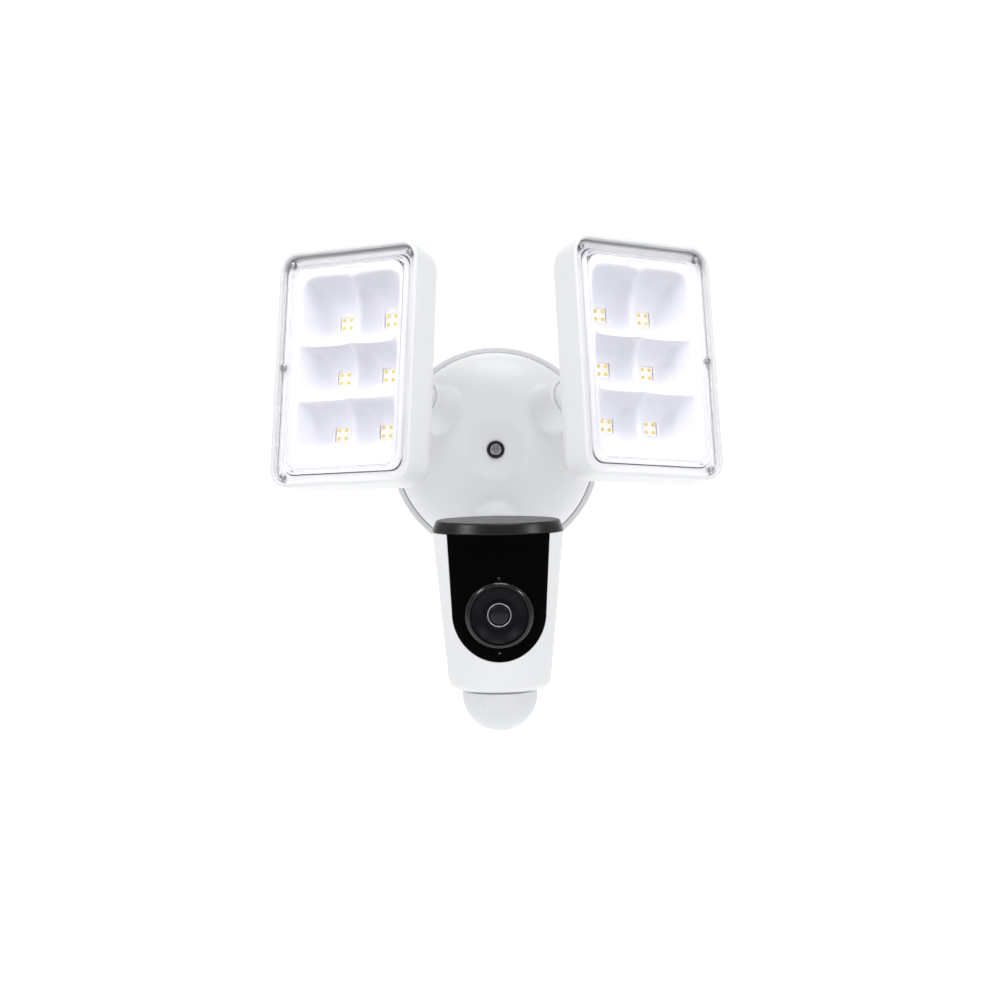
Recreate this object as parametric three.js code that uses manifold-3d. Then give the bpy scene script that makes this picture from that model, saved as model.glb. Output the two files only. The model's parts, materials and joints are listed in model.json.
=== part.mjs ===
// Wall-mounted floodlight security camera: a round base that covers a junction box, two LED
// floodlight heads and one camera module, each on its own ball joint.
//
// Frame: millimetres, the wall is the plane y = 0, the front looks along -Y, +Z is up, and the
// origin is the centre of the base on the wall. Every piece is a separate closed solid.

import * as THREE from 'three';
import { mergeVertices } from 'three/addons/utils/BufferGeometryUtils.js';
import Module from 'manifold-3d';

const wasm = await Module();
wasm.setup();

// ---------------------------------------------------------------------------------------------
// Driving dimensions, mm. "depth" is measured from the wall towards the front (y = -depth).
// ---------------------------------------------------------------------------------------------

const GAP = 0.3; // clearance between neighbouring pieces
const DEG = Math.PI / 180;
const SIDES = { large: 32, medium: 20, round: 16, small: 10, tiny: 6 }; // facets of round pieces

const PLATE = { radius: 63.5, back: 2.8, front: 6.8, floor: 9, floorRadius: 56.6, pocketRadius: 50 };
const COVER = { radius: 59.6, edge: 7.1, shoulder: 9, crown: 36, wall: 2.4, roundness: 2.5 };
const DISH = { radius: 18.2, depth: 3 };
const DISH_FLOOR = COVER.crown - DISH.depth;
const CENTRE_TUBE = { radius: 8, bore: 3, counterbore: 5.3 };
const COVER_SCREW = { x: 39, z: -9, post: 4.2, shank: 1.4, head: 3.2 };
const GASKET = { outer: 61, inner: 51, thickness: 2.5 };
const BRACKET = { length: 100, width: 20, thickness: 1.8, slotSpacing: 83, slotLength: 14, slotWidth: 4.6 };
const GROMMET_Z = 27; // height of the wire hole above the centre

const BALL = {
  radius: 8.4, // the joint's ball
  seat: 9, // spherical seat around it
  neck: 4.2, // stem just outside the ball
  stem: 6.2, // stem further out
  thread: 3.9, // threaded end inside the head
  wire: 2.2, // wire bore
};
const BOSS = { radius: 12.5, bore: 10.6, rim: -1, floor: -13.5, root: 19, rootAt: -30 };
const RING = { radius: 10.3, foot: -4.1, lip: 4 };
const CUP = { back: -13.2, front: -4.4, wireHole: 3.5 };

const LAMP = {
  width: 87.7,
  height: 132.6,
  corner: 11,
  rim: 2.2, // wall thickness
  wall: 17.7, // straight side wall before the back rounds off
  depth: 34,
  backRound: 13,
  reach: 86.8, // ball centre to the plane of the front rim
  lift: 2.1, // the head's centre sits this far above its stem
  neckBack: 55, // end face of the neck behind the rim
  neckRadius: 12,
};
const WINDOW = { width: 73, height: 113.6, recess: 5.3, corner: 9 };
const CELLS = {
  columns: 2,
  rows: 3,
  pitchX: 28.5, // between the LED clusters
  pitchZ: 31.3,
  dropZ: -1.5,
  mouthPitchX: 32.2, // between the centres of the bowls' mouths
  mouthPitchZ: 34.6,
  mouthWidth: 31.4,
  mouthHeight: 33.8,
  throat: 12.6,
  wall: 1.4,
};
const LED = { plane: 26.2, cluster: 8, height: 0.8 };
const LENS = { flange: 3.2, flangeBack: 5, baseWidth: 75.4, baseHeight: 117.8, slope: 1.4, top: 0.6 };
const LAMP_SCREW = { cornerX: 37.2, cornerZ: 59.7, sideX: 39.65, sideZ: 2, head: 1.7, shank: 1.1 };

const LAMP_BALL = { x: 43.8, y: -46, z: 29.6 };
const LAMP_ARM = { outward: 31 * DEG, up: 16 * DEG }; // direction of each lamp boss
const LAMP_AIM = {
  left: { yaw: -27.2 * DEG, pitch: -7.8 * DEG, roll: -0.9 * DEG },
  right: { yaw: 27.8 * DEG, pitch: -8.9 * DEG, roll: 2.4 * DEG },
};

const CAMERA_BALL = { x: 0, y: -46, z: -50.5 };
const CAMERA_ARM_DOWN = 20 * DEG;
const CAMERA_STEM_SLOPE = 14 * DEG; // the stem slopes down to the camera's back
const CAMERA_HANG = { forward: 2.8, down: 4.2 }; // body frame's origin from the ball
const CAMERA_TILT = 5.8 * DEG;
const CAMERA = {
  centre: 67, // body frame's origin to the body's middle plane
  top: 13.6,
  bottom: -72.3,
  topWidth: 71.6,
  bottomWidth: 55.6,
  topDepth: 50,
  bottomDepth: 45,
  wall: 3.2,
  seam: 62, // plane where the front and back shells meet
  padRadius: 8.5,
  padFace: 42.5, // flat pad on the back, from the ball along the stem
  padInside: 53, // flat seat for the stem nut inside, from the ball along the stem
};
const VISOR = { height: 6.3, topInset: 2.4, wall: 3.2, pinhole: 14 };
const PANEL = { halfTop: 27.6, halfBottom: 25.2, thickness: 1.5, seat: 1.8, face: 90.8 };
const LENS_Z = -29.3;
const PINHOLES = [19.8, -20.6]; // light sensor and microphone, above and below the lens axis
const CAMERA_LENS = { bezel: 18.2, barrel: 15.4, mount: 6.35, glass: 5.6 };
const DOME = { radius: 20.7, wall: 1.2, lip: 18.6, skirt: 3.2 };
const SPEAKER = { z: -38, radius: 10.4, slotPitch: 3, slotWidth: 1.2, slotHeight: 9 };
const RESET = { z: -60, radius: 3, face: 43.3, flange: 47.9, foot: 70 };

// ---------------------------------------------------------------------------------------------
// Materials
// ---------------------------------------------------------------------------------------------

const material = (color, roughness, metalness = 0, opacity = 1) =>
  new THREE.MeshStandardMaterial({ color, roughness, metalness, opacity, transparent: opacity < 1 });

const WHITE = material(0xf0f0f0, 0.42);
const LIGHT_GREY = material(0xd9dadd, 0.5);
const REFLECTOR_WHITE = material(0xe2e2ec, 0.35);
const GLOSS_BLACK = material(0x050507, 0.08);
const BLACK = material(0x141416, 0.4);
const RUBBER = material(0x1b1b1c, 0.85);
const SILICONE = material(0xe6e6e8, 0.7);
const STEEL = material(0xb9bbbe, 0.35, 0.9);
const ALUMINIUM = material(0xdfe1e4, 0.5, 0.4);
const BOARD_GREEN = material(0x1c4a34, 0.6);
const CLEAR = material(0xf4f8fa, 0.05, 0, 0.25);
const GLASS = material(0x11141c, 0.03);
const FROSTED = material(0xececee, 0.55);
const WIRE = material(0x2a2a2c, 0.6);

// ---------------------------------------------------------------------------------------------
// Solid modelling helpers
// ---------------------------------------------------------------------------------------------

const Y = new THREE.Vector3(0, 1, 0);
const Z = new THREE.Vector3(0, 0, 1);
const FRONT = new THREE.Vector3(0, -1, 0);
const BACK = Y;

/** A closed solid from any closed geometry, with its faces turned outwards. */
function solid(geometry) {
  const bare = geometry.clone();
  bare.deleteAttribute('normal');
  bare.deleteAttribute('uv');
  const welded = mergeVertices(bare, 1e-4);
  const position = welded.getAttribute('position');
  const corners = welded.getIndex().array;
  const triangles = [];
  for (let i = 0; i < corners.length; i += 3) {
    const [a, b, c] = [corners[i], corners[i + 1], corners[i + 2]];
    if (a !== b && b !== c && c !== a) triangles.push(a, b, c);
  }
  const point = (i) => new THREE.Vector3().fromBufferAttribute(position, i);
  let volume = 0;
  for (let i = 0; i < triangles.length; i += 3) {
    const cross = point(triangles[i + 1]).cross(point(triangles[i + 2]));
    volume += point(triangles[i]).dot(cross);
  }
  if (volume < 0) triangles.reverse();
  return new wasm.Manifold(
    new wasm.Mesh({
      numProp: 3,
      vertProperties: new Float32Array(position.array),
      triVerts: new Uint32Array(triangles),
    })
  );
}

/** Joins any number of solids. */
const join = (...solids) => solids.reduce((whole, piece) => whole.add(piece));

/** Cuts every tool out of a solid. */
const cut = (body, ...tools) => tools.reduce((left, tool) => left.subtract(tool), body);

/** A named mesh from a solid. */
function piece(name, body, look) {
  const mesh = body.getMesh();
  const geometry = new THREE.BufferGeometry();
  geometry.setAttribute('position', new THREE.BufferAttribute(mesh.vertProperties, 3));
  geometry.setIndex(new THREE.BufferAttribute(mesh.triVerts, 1));
  geometry.computeVertexNormals();
  const made = new THREE.Mesh(geometry, look);
  made.name = name;
  return made;
}

/** Revolves [radius, distance] pairs about an axis through the origin. */
function turned(profile, direction, segments = SIDES.round) {
  const points = profile.map(([radius, along]) => new THREE.Vector2(radius, along));
  if (profile[0][0] > 0) points.push(points[0].clone()); // a ring's profile closes on itself
  const geometry = new THREE.LatheGeometry(points, segments);
  geometry.applyQuaternion(new THREE.Quaternion().setFromUnitVectors(Y, direction));
  return solid(geometry);
}

/** A cylinder, or a cone frustum, between two distances along an axis. */
function rod(radius, from, to, direction, segments = SIDES.round, endRadius = radius) {
  return turned([[0, from], [radius, from], [endRadius, to], [0, to]], direction, segments);
}

/** A round washer or tube between two distances along an axis. */
function ring(outer, inner, from, to, direction, segments = SIDES.round) {
  return turned([[inner, from], [outer, from], [outer, to], [inner, to]], direction, segments);
}

function block(width, depth, height, x, y, z) {
  return solid(new THREE.BoxGeometry(width, depth, height).translate(x, y, z));
}

/** Outline of a rectangle with round corners in the x, z plane. */
function roundedOutline(width, height, radius, x = 0, z = 0) {
  const [w, h] = [width / 2 - radius, height / 2 - radius];
  const outline = new THREE.Shape();
  outline.absarc(x + w, z + h, radius, 0, 90 * DEG);
  outline.absarc(x - w, z + h, radius, 90 * DEG, 180 * DEG);
  outline.absarc(x - w, z - h, radius, 180 * DEG, 270 * DEG);
  outline.absarc(x + w, z - h, radius, 270 * DEG, 360 * DEG);
  outline.closePath();
  return outline;
}

/** An x, z outline pulled straight from one y to another. */
function slab(outline, yA, yB, curveSegments = 3) {
  const depth = Math.abs(yB - yA);
  const geometry = new THREE.ExtrudeGeometry(outline, { depth, bevelEnabled: false, curveSegments });
  geometry.rotateX(90 * DEG);
  return solid(geometry.translate(0, Math.max(yA, yB), 0));
}

/** A closed skin over a stack of rings, each with the same number of points. */
function loft(rings) {
  const count = rings[0].length;
  const positions = rings.flat().flatMap((p) => [p.x, p.y, p.z]);
  const index = [];
  for (let r = 0; r + 1 < rings.length; r += 1) {
    for (let i = 0; i < count; i += 1) {
      const [a, b] = [r * count + i, r * count + ((i + 1) % count)];
      index.push(a, b, b + count, a, b + count, a + count);
    }
  }
  const last = (rings.length - 1) * count;
  for (let i = 1; i + 1 < count; i += 1) {
    index.push(0, i + 1, i);
    index.push(last, last + i, last + i + 1);
  }
  const geometry = new THREE.BufferGeometry();
  geometry.setAttribute('position', new THREE.Float32BufferAttribute(positions, 3));
  geometry.setIndex(index);
  return solid(geometry);
}

/** Points of a rectangle with round corners, in the plane at y. */
function roundedRing(width, height, radius, y, x = 0, z = 0, perCorner = 4) {
  const [w, h] = [width / 2 - radius, height / 2 - radius];
  const points = [];
  for (let corner = 0; corner < 4; corner += 1) {
    const [sx, sz] = [corner === 0 || corner === 3 ? 1 : -1, corner < 2 ? 1 : -1];
    for (let i = 0; i < perCorner; i += 1) {
      const angle = (corner + i / (perCorner - 1)) * 90 * DEG;
      points.push(
        new THREE.Vector3(
          x + sx * w + radius * Math.cos(angle),
          y,
          z + sz * h + radius * Math.sin(angle)
        )
      );
    }
  }
  return points;
}

/** Points of an oval in the plane at z. */
function ovalRing(halfWidth, halfDepth, y, z, count = SIDES.medium) {
  return Array.from({ length: count }, (_, i) => {
    const angle = (i / count) * 360 * DEG;
    return new THREE.Vector3(halfWidth * Math.cos(angle), y + halfDepth * Math.sin(angle), z);
  });
}

/** A group at a ball centre, turned to yaw (about Z), then pitch (about X), then roll (about Y). */
function aimed(at, { yaw = 0, pitch = 0, roll = 0 }) {
  const group = new THREE.Group();
  group.position.set(at.x, at.y, at.z);
  group.rotation.set(pitch, roll, yaw, 'ZXY');
  return group;
}

/** Moves a solid into a group's parent frame. */
function placedLike(body, group) {
  group.updateMatrix();
  return body.transform(group.matrix.elements);
}

// ---------------------------------------------------------------------------------------------
// Ball joints. In a joint's frame the ball is at the origin and the boss points along -Y.
// ---------------------------------------------------------------------------------------------

const onSeat = (at) => Math.sqrt(BALL.seat ** 2 - at ** 2);

/** The part of the boss that stands out of the base cover, before it is hollowed. */
function bossOutside() {
  const lead = 1.5;
  return turned(
    [
      [0, BOSS.rootAt],
      [BOSS.root, BOSS.rootAt],
      [16.2, -20],
      [13.6, -9],
      [BOSS.radius, BOSS.rim - lead],
      [BOSS.radius - 1, BOSS.rim],
      [0, BOSS.rim],
    ],
    FRONT,
    SIDES.round
  );
}

/** The space inside the boss: the joint's bore, the wire hole and the hollow behind it. */
function bossInside() {
  const bore = rod(BOSS.bore, BOSS.floor, BOSS.rim + 5, FRONT, SIDES.round);
  const wireHole = rod(CUP.wireHole + 1, BOSS.floor - 6, BOSS.floor + 1, FRONT, SIDES.small);
  const hollow = rod(BOSS.root - 2.6, BOSS.rootAt - 4, BOSS.floor - 2.4, FRONT, SIDES.round, 11.6);
  return join(bore, wireHole, hollow);
}

/** Cup that the ball is pressed into; it turns in the boss about the boss axis. */
function frictionCup() {
  const seat = [];
  const deepest = -Math.sqrt(BALL.seat ** 2 - CUP.wireHole ** 2);
  for (let i = 0; i <= 2; i += 1) {
    const along = CUP.front + (deepest - CUP.front) * (i / 2);
    seat.push([onSeat(along), along]);
  }
  return turned(
    [[CUP.wireHole, CUP.back], [RING.radius, CUP.back], [RING.radius, CUP.front], ...seat],
    FRONT,
    SIDES.round
  );
}

/** Threaded ring that holds the ball down in its cup. */
function lockRing() {
  const seat = [];
  for (const share of [1, 0.5, 0]) seat.push([onSeat(RING.lip * share), RING.lip * share]);
  const body = turned(
    [
      [BALL.seat, RING.foot],
      [RING.radius, RING.foot],
      [RING.radius, 1.4],
      [RING.radius - 0.6, 2.6],
      [RING.radius - 1.6, RING.lip],
      ...seat,
    ],
    FRONT,
    SIDES.round
  );
  const notch = block(2, 2.4, 1.6, RING.radius, -RING.lip, 0);
  const notches = [45, 135, 225, 315].map((angle) => notch.rotate([0, angle, 0]));
  return cut(body, ...notches);
}

/** Ball and hollow stem in one piece; reach is the ball centre to the head's bearing face. */
function ballStem(reach, thread) {
  const points = [];
  const start = -Math.sqrt(BALL.radius ** 2 - BALL.wire ** 2);
  const end = Math.sqrt(BALL.radius ** 2 - BALL.neck ** 2);
  const steps = 6;
  const startAngle = Math.asin(start / BALL.radius);
  const endAngle = Math.asin(end / BALL.radius);
  for (let i = 0; i <= steps; i += 1) {
    const angle = startAngle + (endAngle - startAngle) * (i / steps);
    points.push([BALL.radius * Math.cos(angle), BALL.radius * Math.sin(angle)]);
  }
  return turned(
    [
      ...points,
      [BALL.neck, 11.5],
      [BALL.stem, 15],
      [BALL.stem, reach - 3.2],
      [8.2, reach - 2.6],
      [8.2, reach],
      [BALL.thread, reach],
      [BALL.thread, reach + thread],
      [BALL.wire, reach + thread],
    ],
    FRONT,
    SIDES.round
  );
}

/** Nut that clamps the head to its stem, on the inside of a wall. */
function stemNut(from) {
  const hexagon = rod(7.6, from, from + 4, FRONT, 6);
  return cut(hexagon, rod(BALL.thread + GAP, from - 1, from + 5, FRONT, SIDES.round));
}

// ---------------------------------------------------------------------------------------------
// Base
// ---------------------------------------------------------------------------------------------

const LAMP_ARMS = {
  left: { yaw: -LAMP_ARM.outward, pitch: -LAMP_ARM.up },
  right: { yaw: LAMP_ARM.outward, pitch: -LAMP_ARM.up },
};
const JOINTS = {
  left: aimed({ ...LAMP_BALL, x: -LAMP_BALL.x }, LAMP_ARMS.left),
  right: aimed(LAMP_BALL, LAMP_ARMS.right),
  camera: aimed(CAMERA_BALL, { pitch: CAMERA_ARM_DOWN }),
};

/** Depth of the cover's domed skin at a radius, for a skin moved inwards by some thickness. */
function domeDepth(radius, inset) {
  const [a, b, n] = [COVER.radius - inset, COVER.crown - COVER.shoulder - inset, COVER.roundness];
  return COVER.shoulder + b * Math.max(0, 1 - (radius / a) ** n) ** (1 / n);
}

function domeSolid(inset, from) {
  const rim = COVER.radius - inset;
  const profile = [[0, from], [rim, from], [rim, COVER.shoulder]];
  for (const share of [0.96, 0.87, 0.7, 0.45]) {
    profile.push([rim * share, domeDepth(rim * share, inset)]);
  }
  profile.push([0, COVER.crown - inset]);
  return turned(profile, FRONT, SIDES.large);
}

/** What hollows the dish out of the crown, moved inwards by some thickness. */
function dishTool(extra) {
  const sphere = (DISH.radius ** 2 + DISH.depth ** 2) / (2 * DISH.depth);
  const profile = [[0, DISH_FLOOR - extra]];
  for (let i = 1; i <= 3; i += 1) {
    const radius = (DISH.radius + 1) * (i / 3);
    const rise = sphere - Math.sqrt(sphere ** 2 - radius ** 2);
    profile.push([radius, DISH_FLOOR + rise - extra]);
  }
  profile.push([DISH.radius + 1, COVER.crown + 4], [0, COVER.crown + 4]);
  return turned(profile, FRONT, SIDES.medium);
}

function coverPost(side) {
  const post = rod(COVER_SCREW.post, PLATE.floor + GAP, COVER.crown - 6, FRONT, SIDES.small);
  return post.translate([side * COVER_SCREW.x, 0, COVER_SCREW.z]);
}

function coverPostBore(side) {
  const bore = rod(COVER_SCREW.shank + GAP, PLATE.floor, 20, FRONT, SIDES.small);
  return bore.translate([side * COVER_SCREW.x, 0, COVER_SCREW.z]);
}

function frontCover() {
  const joints = Object.values(JOINTS);
  const outside = join(domeSolid(0, COVER.edge), ...joints.map((j) => placedLike(bossOutside(), j)));
  const behindEdge = rod(90, COVER.edge - 60, COVER.edge, FRONT, SIDES.round);
  const tube = rod(CENTRE_TUBE.radius, PLATE.floor + GAP, COVER.crown - 3, FRONT, SIDES.round);
  const hollow = cut(
    domeSolid(COVER.wall, COVER.edge - 1),
    dishTool(COVER.wall),
    tube,
    coverPost(-1),
    coverPost(1)
  );
  return cut(
    outside,
    behindEdge,
    dishTool(0),
    cut(hollow, behindEdge),
    ...joints.map((j) => placedLike(bossInside(), j)),
    rod(CENTRE_TUBE.bore, 0, 40, FRONT, SIDES.round),
    rod(CENTRE_TUBE.counterbore, DISH_FLOOR - 1.8, 40, FRONT, SIDES.round),
    coverPostBore(-1),
    coverPostBore(1)
  );
}

function rearPlate() {
  const body = turned(
    [
      [0, PLATE.front],
      [PLATE.pocketRadius, PLATE.front],
      [PLATE.pocketRadius, PLATE.back],
      [PLATE.radius, PLATE.back],
      [PLATE.radius, PLATE.front - 1.2],
      [PLATE.radius - 1.2, PLATE.front],
      [PLATE.floorRadius, PLATE.front],
      [PLATE.floorRadius, PLATE.floor],
      [0, PLATE.floor],
    ],
    FRONT,
    SIDES.large
  );
  const screwHoles = [-1, 1].map((side) =>
    rod(COVER_SCREW.shank + GAP, 0, 20, FRONT, SIDES.small)
      .translate([side * COVER_SCREW.x, 0, COVER_SCREW.z])
  );
  return cut(
    body,
    rod(CENTRE_TUBE.bore, 0, 20, FRONT, SIDES.round),
    rod(8, 0, 20, FRONT, SIDES.round).translate([0, 0, GROMMET_Z]),
    ...screwHoles
  );
}

function coverScrew(side) {
  const body = join(
    rod(COVER_SCREW.head, 4.4, PLATE.front - GAP, FRONT, SIDES.small),
    rod(COVER_SCREW.shank, PLATE.front - 1, 18, FRONT, SIDES.tiny)
  );
  return body.translate([side * COVER_SCREW.x, 0, COVER_SCREW.z]);
}

function centreScrew() {
  const [foot, edge, top] = [DISH_FLOOR - 0.4, DISH_FLOOR + 0.8, DISH_FLOOR + 1.3];
  const head = turned([[0, foot], [3.6, foot], [3.6, edge], [2.9, top], [0, top]], FRONT, SIDES.round);
  const recess = join(block(0.9, 2, 4.2, 0, -top, 0), block(4.2, 2, 0.9, 0, -top, 0));
  return cut(join(head, rod(2.4, -4, DISH_FLOOR, FRONT, SIDES.small)), recess);
}

function centreSeal() {
  const [foot, web, top] = [DISH_FLOOR - 1.5, DISH_FLOOR - 0.7, DISH_FLOOR + 1.6];
  return turned(
    [[2.7, foot], [5, foot], [5, top - 0.4], [4.6, top], [3.9, top], [3.9, web], [2.7, web]],
    FRONT,
    SIDES.round
  );
}

function grommet() {
  const body = turned(
    [
      [5, 5.3],
      [9.4, 5.3],
      [9.4, PLATE.front - GAP],
      [7.7, PLATE.front - GAP],
      [7.7, PLATE.floor + GAP],
      [9.4, PLATE.floor + GAP],
      [9.4, 10.8],
      [5, 10.8],
    ],
    FRONT,
    SIDES.round
  );
  return body.translate([0, 0, GROMMET_Z]);
}

/** Steel crossbar that the junction box screws hold; the centre screw threads into it. */
function crossbar() {
  const { length, width, thickness, slotSpacing, slotLength, slotWidth } = BRACKET;
  const bar = slab(roundedOutline(length, width, 3), 0, -thickness, 3);
  const slots = [-1, 1].map((side) =>
    slab(roundedOutline(slotLength, slotWidth, slotWidth / 2.01, (side * slotSpacing) / 2), 2, -5, 2)
  );
  const groundHole = rod(2.1, -1, 5, FRONT, SIDES.small).translate([-16, 0, 4]);
  return cut(bar, ...slots, rod(2.7, -1, 5, FRONT, SIDES.small), groundHole);
}

function boxScrew(side) {
  const body = cut(
    join(rod(4.2, BRACKET.thickness + GAP, 4.6, FRONT, SIDES.small), rod(1.9, -12, 3, FRONT, SIDES.tiny)),
    block(6, 1.4, 1.1, 0, -4.6, 0)
  );
  return body.translate([(side * BRACKET.slotSpacing) / 2, 0, 0]);
}

function groundScrew() {
  const body = cut(
    join(rod(3.8, BRACKET.thickness + GAP, 4.4, FRONT, 6), rod(1.8, -6, 3, FRONT, SIDES.tiny)),
    block(5.2, 1.2, 1, 0, -4.4, 0)
  );
  return body.translate([-16, 0, 4]);
}

/** Mains LED driver board around the centre tube, with its capacitors and terminal block. */
function driverBoard() {
  const back = 12;
  const board = slab(roundedOutline(66, 40, 3, 0, 0), -back, -back - 1.6, 3);
  const parts = [
    rod(4, back + 1, back + 11, FRONT, SIDES.small).translate([-17, 0, -12]),
    rod(3.2, back + 1, back + 9, FRONT, SIDES.small).translate([-25, 0, 10]),
    block(14, 8, 7, -16, -back - 5, 12),
    block(12, 7, 10, 20, -back - 4.5, 12),
  ];
  return cut(join(board, ...parts), rod(CENTRE_TUBE.radius + 1.4, 0, 40, FRONT, SIDES.round));
}

function driverTransformer() {
  const core = block(17, 11, 15, 21, -19.8, -9.5);
  const winding = rod(6.4, 14.4, 25.4, FRONT, SIDES.small).translate([21, 0, -9.5]);
  return join(core, winding.translate([0, -0.4, 0]));
}

/** A wire tail from beside the driver board to the wire hole behind a joint's cup. */
function lead(points) {
  const path = new THREE.CatmullRomCurve3(points.map(([x, y, z]) => new THREE.Vector3(x, y, z)));
  const section = new THREE.Shape().absarc(0, 0, 1.6, 0, 360 * DEG);
  const geometry = new THREE.ExtrudeGeometry(section, {
    steps: 8,
    curveSegments: 2,
    bevelEnabled: false,
    extrudePath: path,
  });
  return solid(geometry);
}

/** The point on a joint's axis at a distance from its ball. */
function onAxis(joint, along) {
  joint.updateMatrix();
  const p = new THREE.Vector3(0, -along, 0).applyMatrix4(joint.matrix);
  return [p.x, p.y, p.z];
}

function buildBase() {
  const group = new THREE.Group();
  group.add(
    piece('crossbar_bracket', crossbar(), STEEL),
    piece('box_screw_left', boxScrew(-1), STEEL),
    piece('box_screw_right', boxScrew(1), STEEL),
    piece('ground_screw', groundScrew(), STEEL),
    piece('wall_gasket', ring(GASKET.outer, GASKET.inner, 0, GASKET.thickness, FRONT, SIDES.large), RUBBER),
    piece('rear_plate', rearPlate(), LIGHT_GREY),
    piece('front_cover', frontCover(), WHITE),
    piece('cover_screw_left', coverScrew(-1), STEEL),
    piece('cover_screw_right', coverScrew(1), STEEL),
    piece('centre_screw', centreScrew(), STEEL),
    piece('centre_screw_seal', centreSeal(), RUBBER),
    piece('wire_grommet', grommet(), RUBBER),
    piece('driver_board', driverBoard(), BOARD_GREEN),
    piece('driver_transformer', driverTransformer(), BLACK)
  );
  for (const side of ['left', 'right']) {
    const sign = side === 'left' ? -1 : 1;
    const [x, y, z] = onAxis(JOINTS[side], -17);
    const route = [[sign * 30, -17.5, 8], [sign * 31, -21, 14], onAxis(JOINTS[side], -24), [x, y, z]];
    group.add(piece(`${side}_lamp_lead`, lead(route), WIRE));
  }
  const cameraRoute = [
    [0, -16.4, -15],
    [0, -17.4, -22],
    onAxis(JOINTS.camera, -26),
    onAxis(JOINTS.camera, -17),
  ];
  group.add(piece('camera_lead', lead(cameraRoute), WIRE));
  return group;
}

/** Cup and lock ring of one joint, in the direction of its boss. */
function buildSocket(name) {
  const arm = name === 'camera' ? name : `${name}_lamp`;
  const socket = JOINTS[name].clone();
  socket.add(piece(`${arm}_friction_cup`, frictionCup(), BLACK));
  socket.add(piece(`${arm}_lock_ring`, lockRing(), WHITE));
  return socket;
}

// ---------------------------------------------------------------------------------------------
// Floodlight heads. In a head's frame y = 0 is the plane of the front rim and +Y is its back.
// side is -1 for the left head and 1 for the right one; its outer side is at x = side * width / 2.
// ---------------------------------------------------------------------------------------------

const screwPlaces = (side) => [
  ['top_outer', side * LAMP_SCREW.cornerX, LAMP_SCREW.cornerZ],
  ['top_inner', -side * LAMP_SCREW.cornerX, LAMP_SCREW.cornerZ],
  ['side', side * LAMP_SCREW.sideX, LAMP_SCREW.sideZ],
  ['bottom_outer', side * LAMP_SCREW.cornerX, -LAMP_SCREW.cornerZ],
];

/** Centres of the LED clusters, and of the bowls' mouths above them. */
function cells() {
  const found = [];
  for (let row = 0; row < CELLS.rows; row += 1) {
    for (let column = 0; column < CELLS.columns; column += 1) {
      const [across, up] = [column - (CELLS.columns - 1) / 2, (CELLS.rows - 1) / 2 - row];
      found.push({
        x: across * CELLS.pitchX,
        z: up * CELLS.pitchZ + CELLS.dropZ,
        mouthX: across * CELLS.mouthPitchX,
        mouthZ: up * CELLS.mouthPitchZ,
      });
    }
  }
  return found;
}

function lampShell(inset, front, depth) {
  const { width, height, corner, wall, backRound } = LAMP;
  const [w, h, r] = [width - 2 * inset, height - 2 * inset, corner - inset];
  const rings = [roundedRing(w, h, r, front), roundedRing(w, h, r, wall)];
  for (const share of [0.45, 0.8, 1]) {
    const drawIn = (1 - Math.sqrt(1 - share ** 2)) * (backRound - inset);
    rings.push(roundedRing(w - 2 * drawIn, h - 2 * drawIn, r, wall + (depth - wall) * share));
  }
  return loft(rings);
}

function lampHousing(side) {
  const { rim, depth, neckBack, neckRadius, lift } = LAMP;
  const floor = depth - 2.6;
  const neckProfile = [
    [0, depth - 6],
    [19, depth - 2.5],
    [14.5, depth + 3],
    [neckRadius, depth + 9],
    [neckRadius, neckBack],
    [0, neckBack],
  ];
  const neck = turned(neckProfile, BACK, SIDES.round).translate([0, 0, -lift]);
  const neckHollow = turned(
    [[0, floor - 3], [12, floor - 1], [9, depth + 6], [9, neckBack - 2.6], [0, neckBack - 2.6]],
    BACK,
    SIDES.round
  ).translate([0, 0, -lift]);
  const bosses = screwPlaces(side).map(([, x, z]) =>
    rod(3.4, 7.1, 20, BACK, SIDES.small).translate([x, 0, z])
  );
  const boreHoles = screwPlaces(side).map(([, x, z]) =>
    rod(LAMP_SCREW.shank + GAP, 6, 17, BACK, SIDES.tiny).translate([x, 0, z])
  );
  const outer = lampShell(0, 0, depth);
  const trimmedBosses = bosses.map((boss) => boss.intersect(outer));
  const shell = cut(join(outer, neck), lampShell(rim, -1, floor), neckHollow);
  const stemHole = rod(BALL.thread + GAP, neckBack - 5, neckBack + 1, BACK, SIDES.round)
    .translate([0, 0, -lift]);
  return cut(join(shell, ...trimmedBosses), stemHole, ...boreHoles);
}

function lampGasket(side) {
  const inside = { width: LAMP.width - 2 * LAMP.rim - 0.8, height: LAMP.height - 2 * LAMP.rim - 0.8 };
  const outline = roundedOutline(inside.width, inside.height, LAMP.corner - LAMP.rim - 0.4);
  outline.holes.push(roundedOutline(inside.width - 8.6, inside.height - 8.6, 6));
  const body = slab(outline, LENS.flangeBack + GAP, LENS.flangeBack + 1.8);
  const holes = screwPlaces(side).map(([, x, z]) =>
    rod(LAMP_SCREW.shank + GAP, 0, 10, BACK, SIDES.tiny).translate([x, 0, z])
  );
  return cut(body, ...holes);
}

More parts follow.
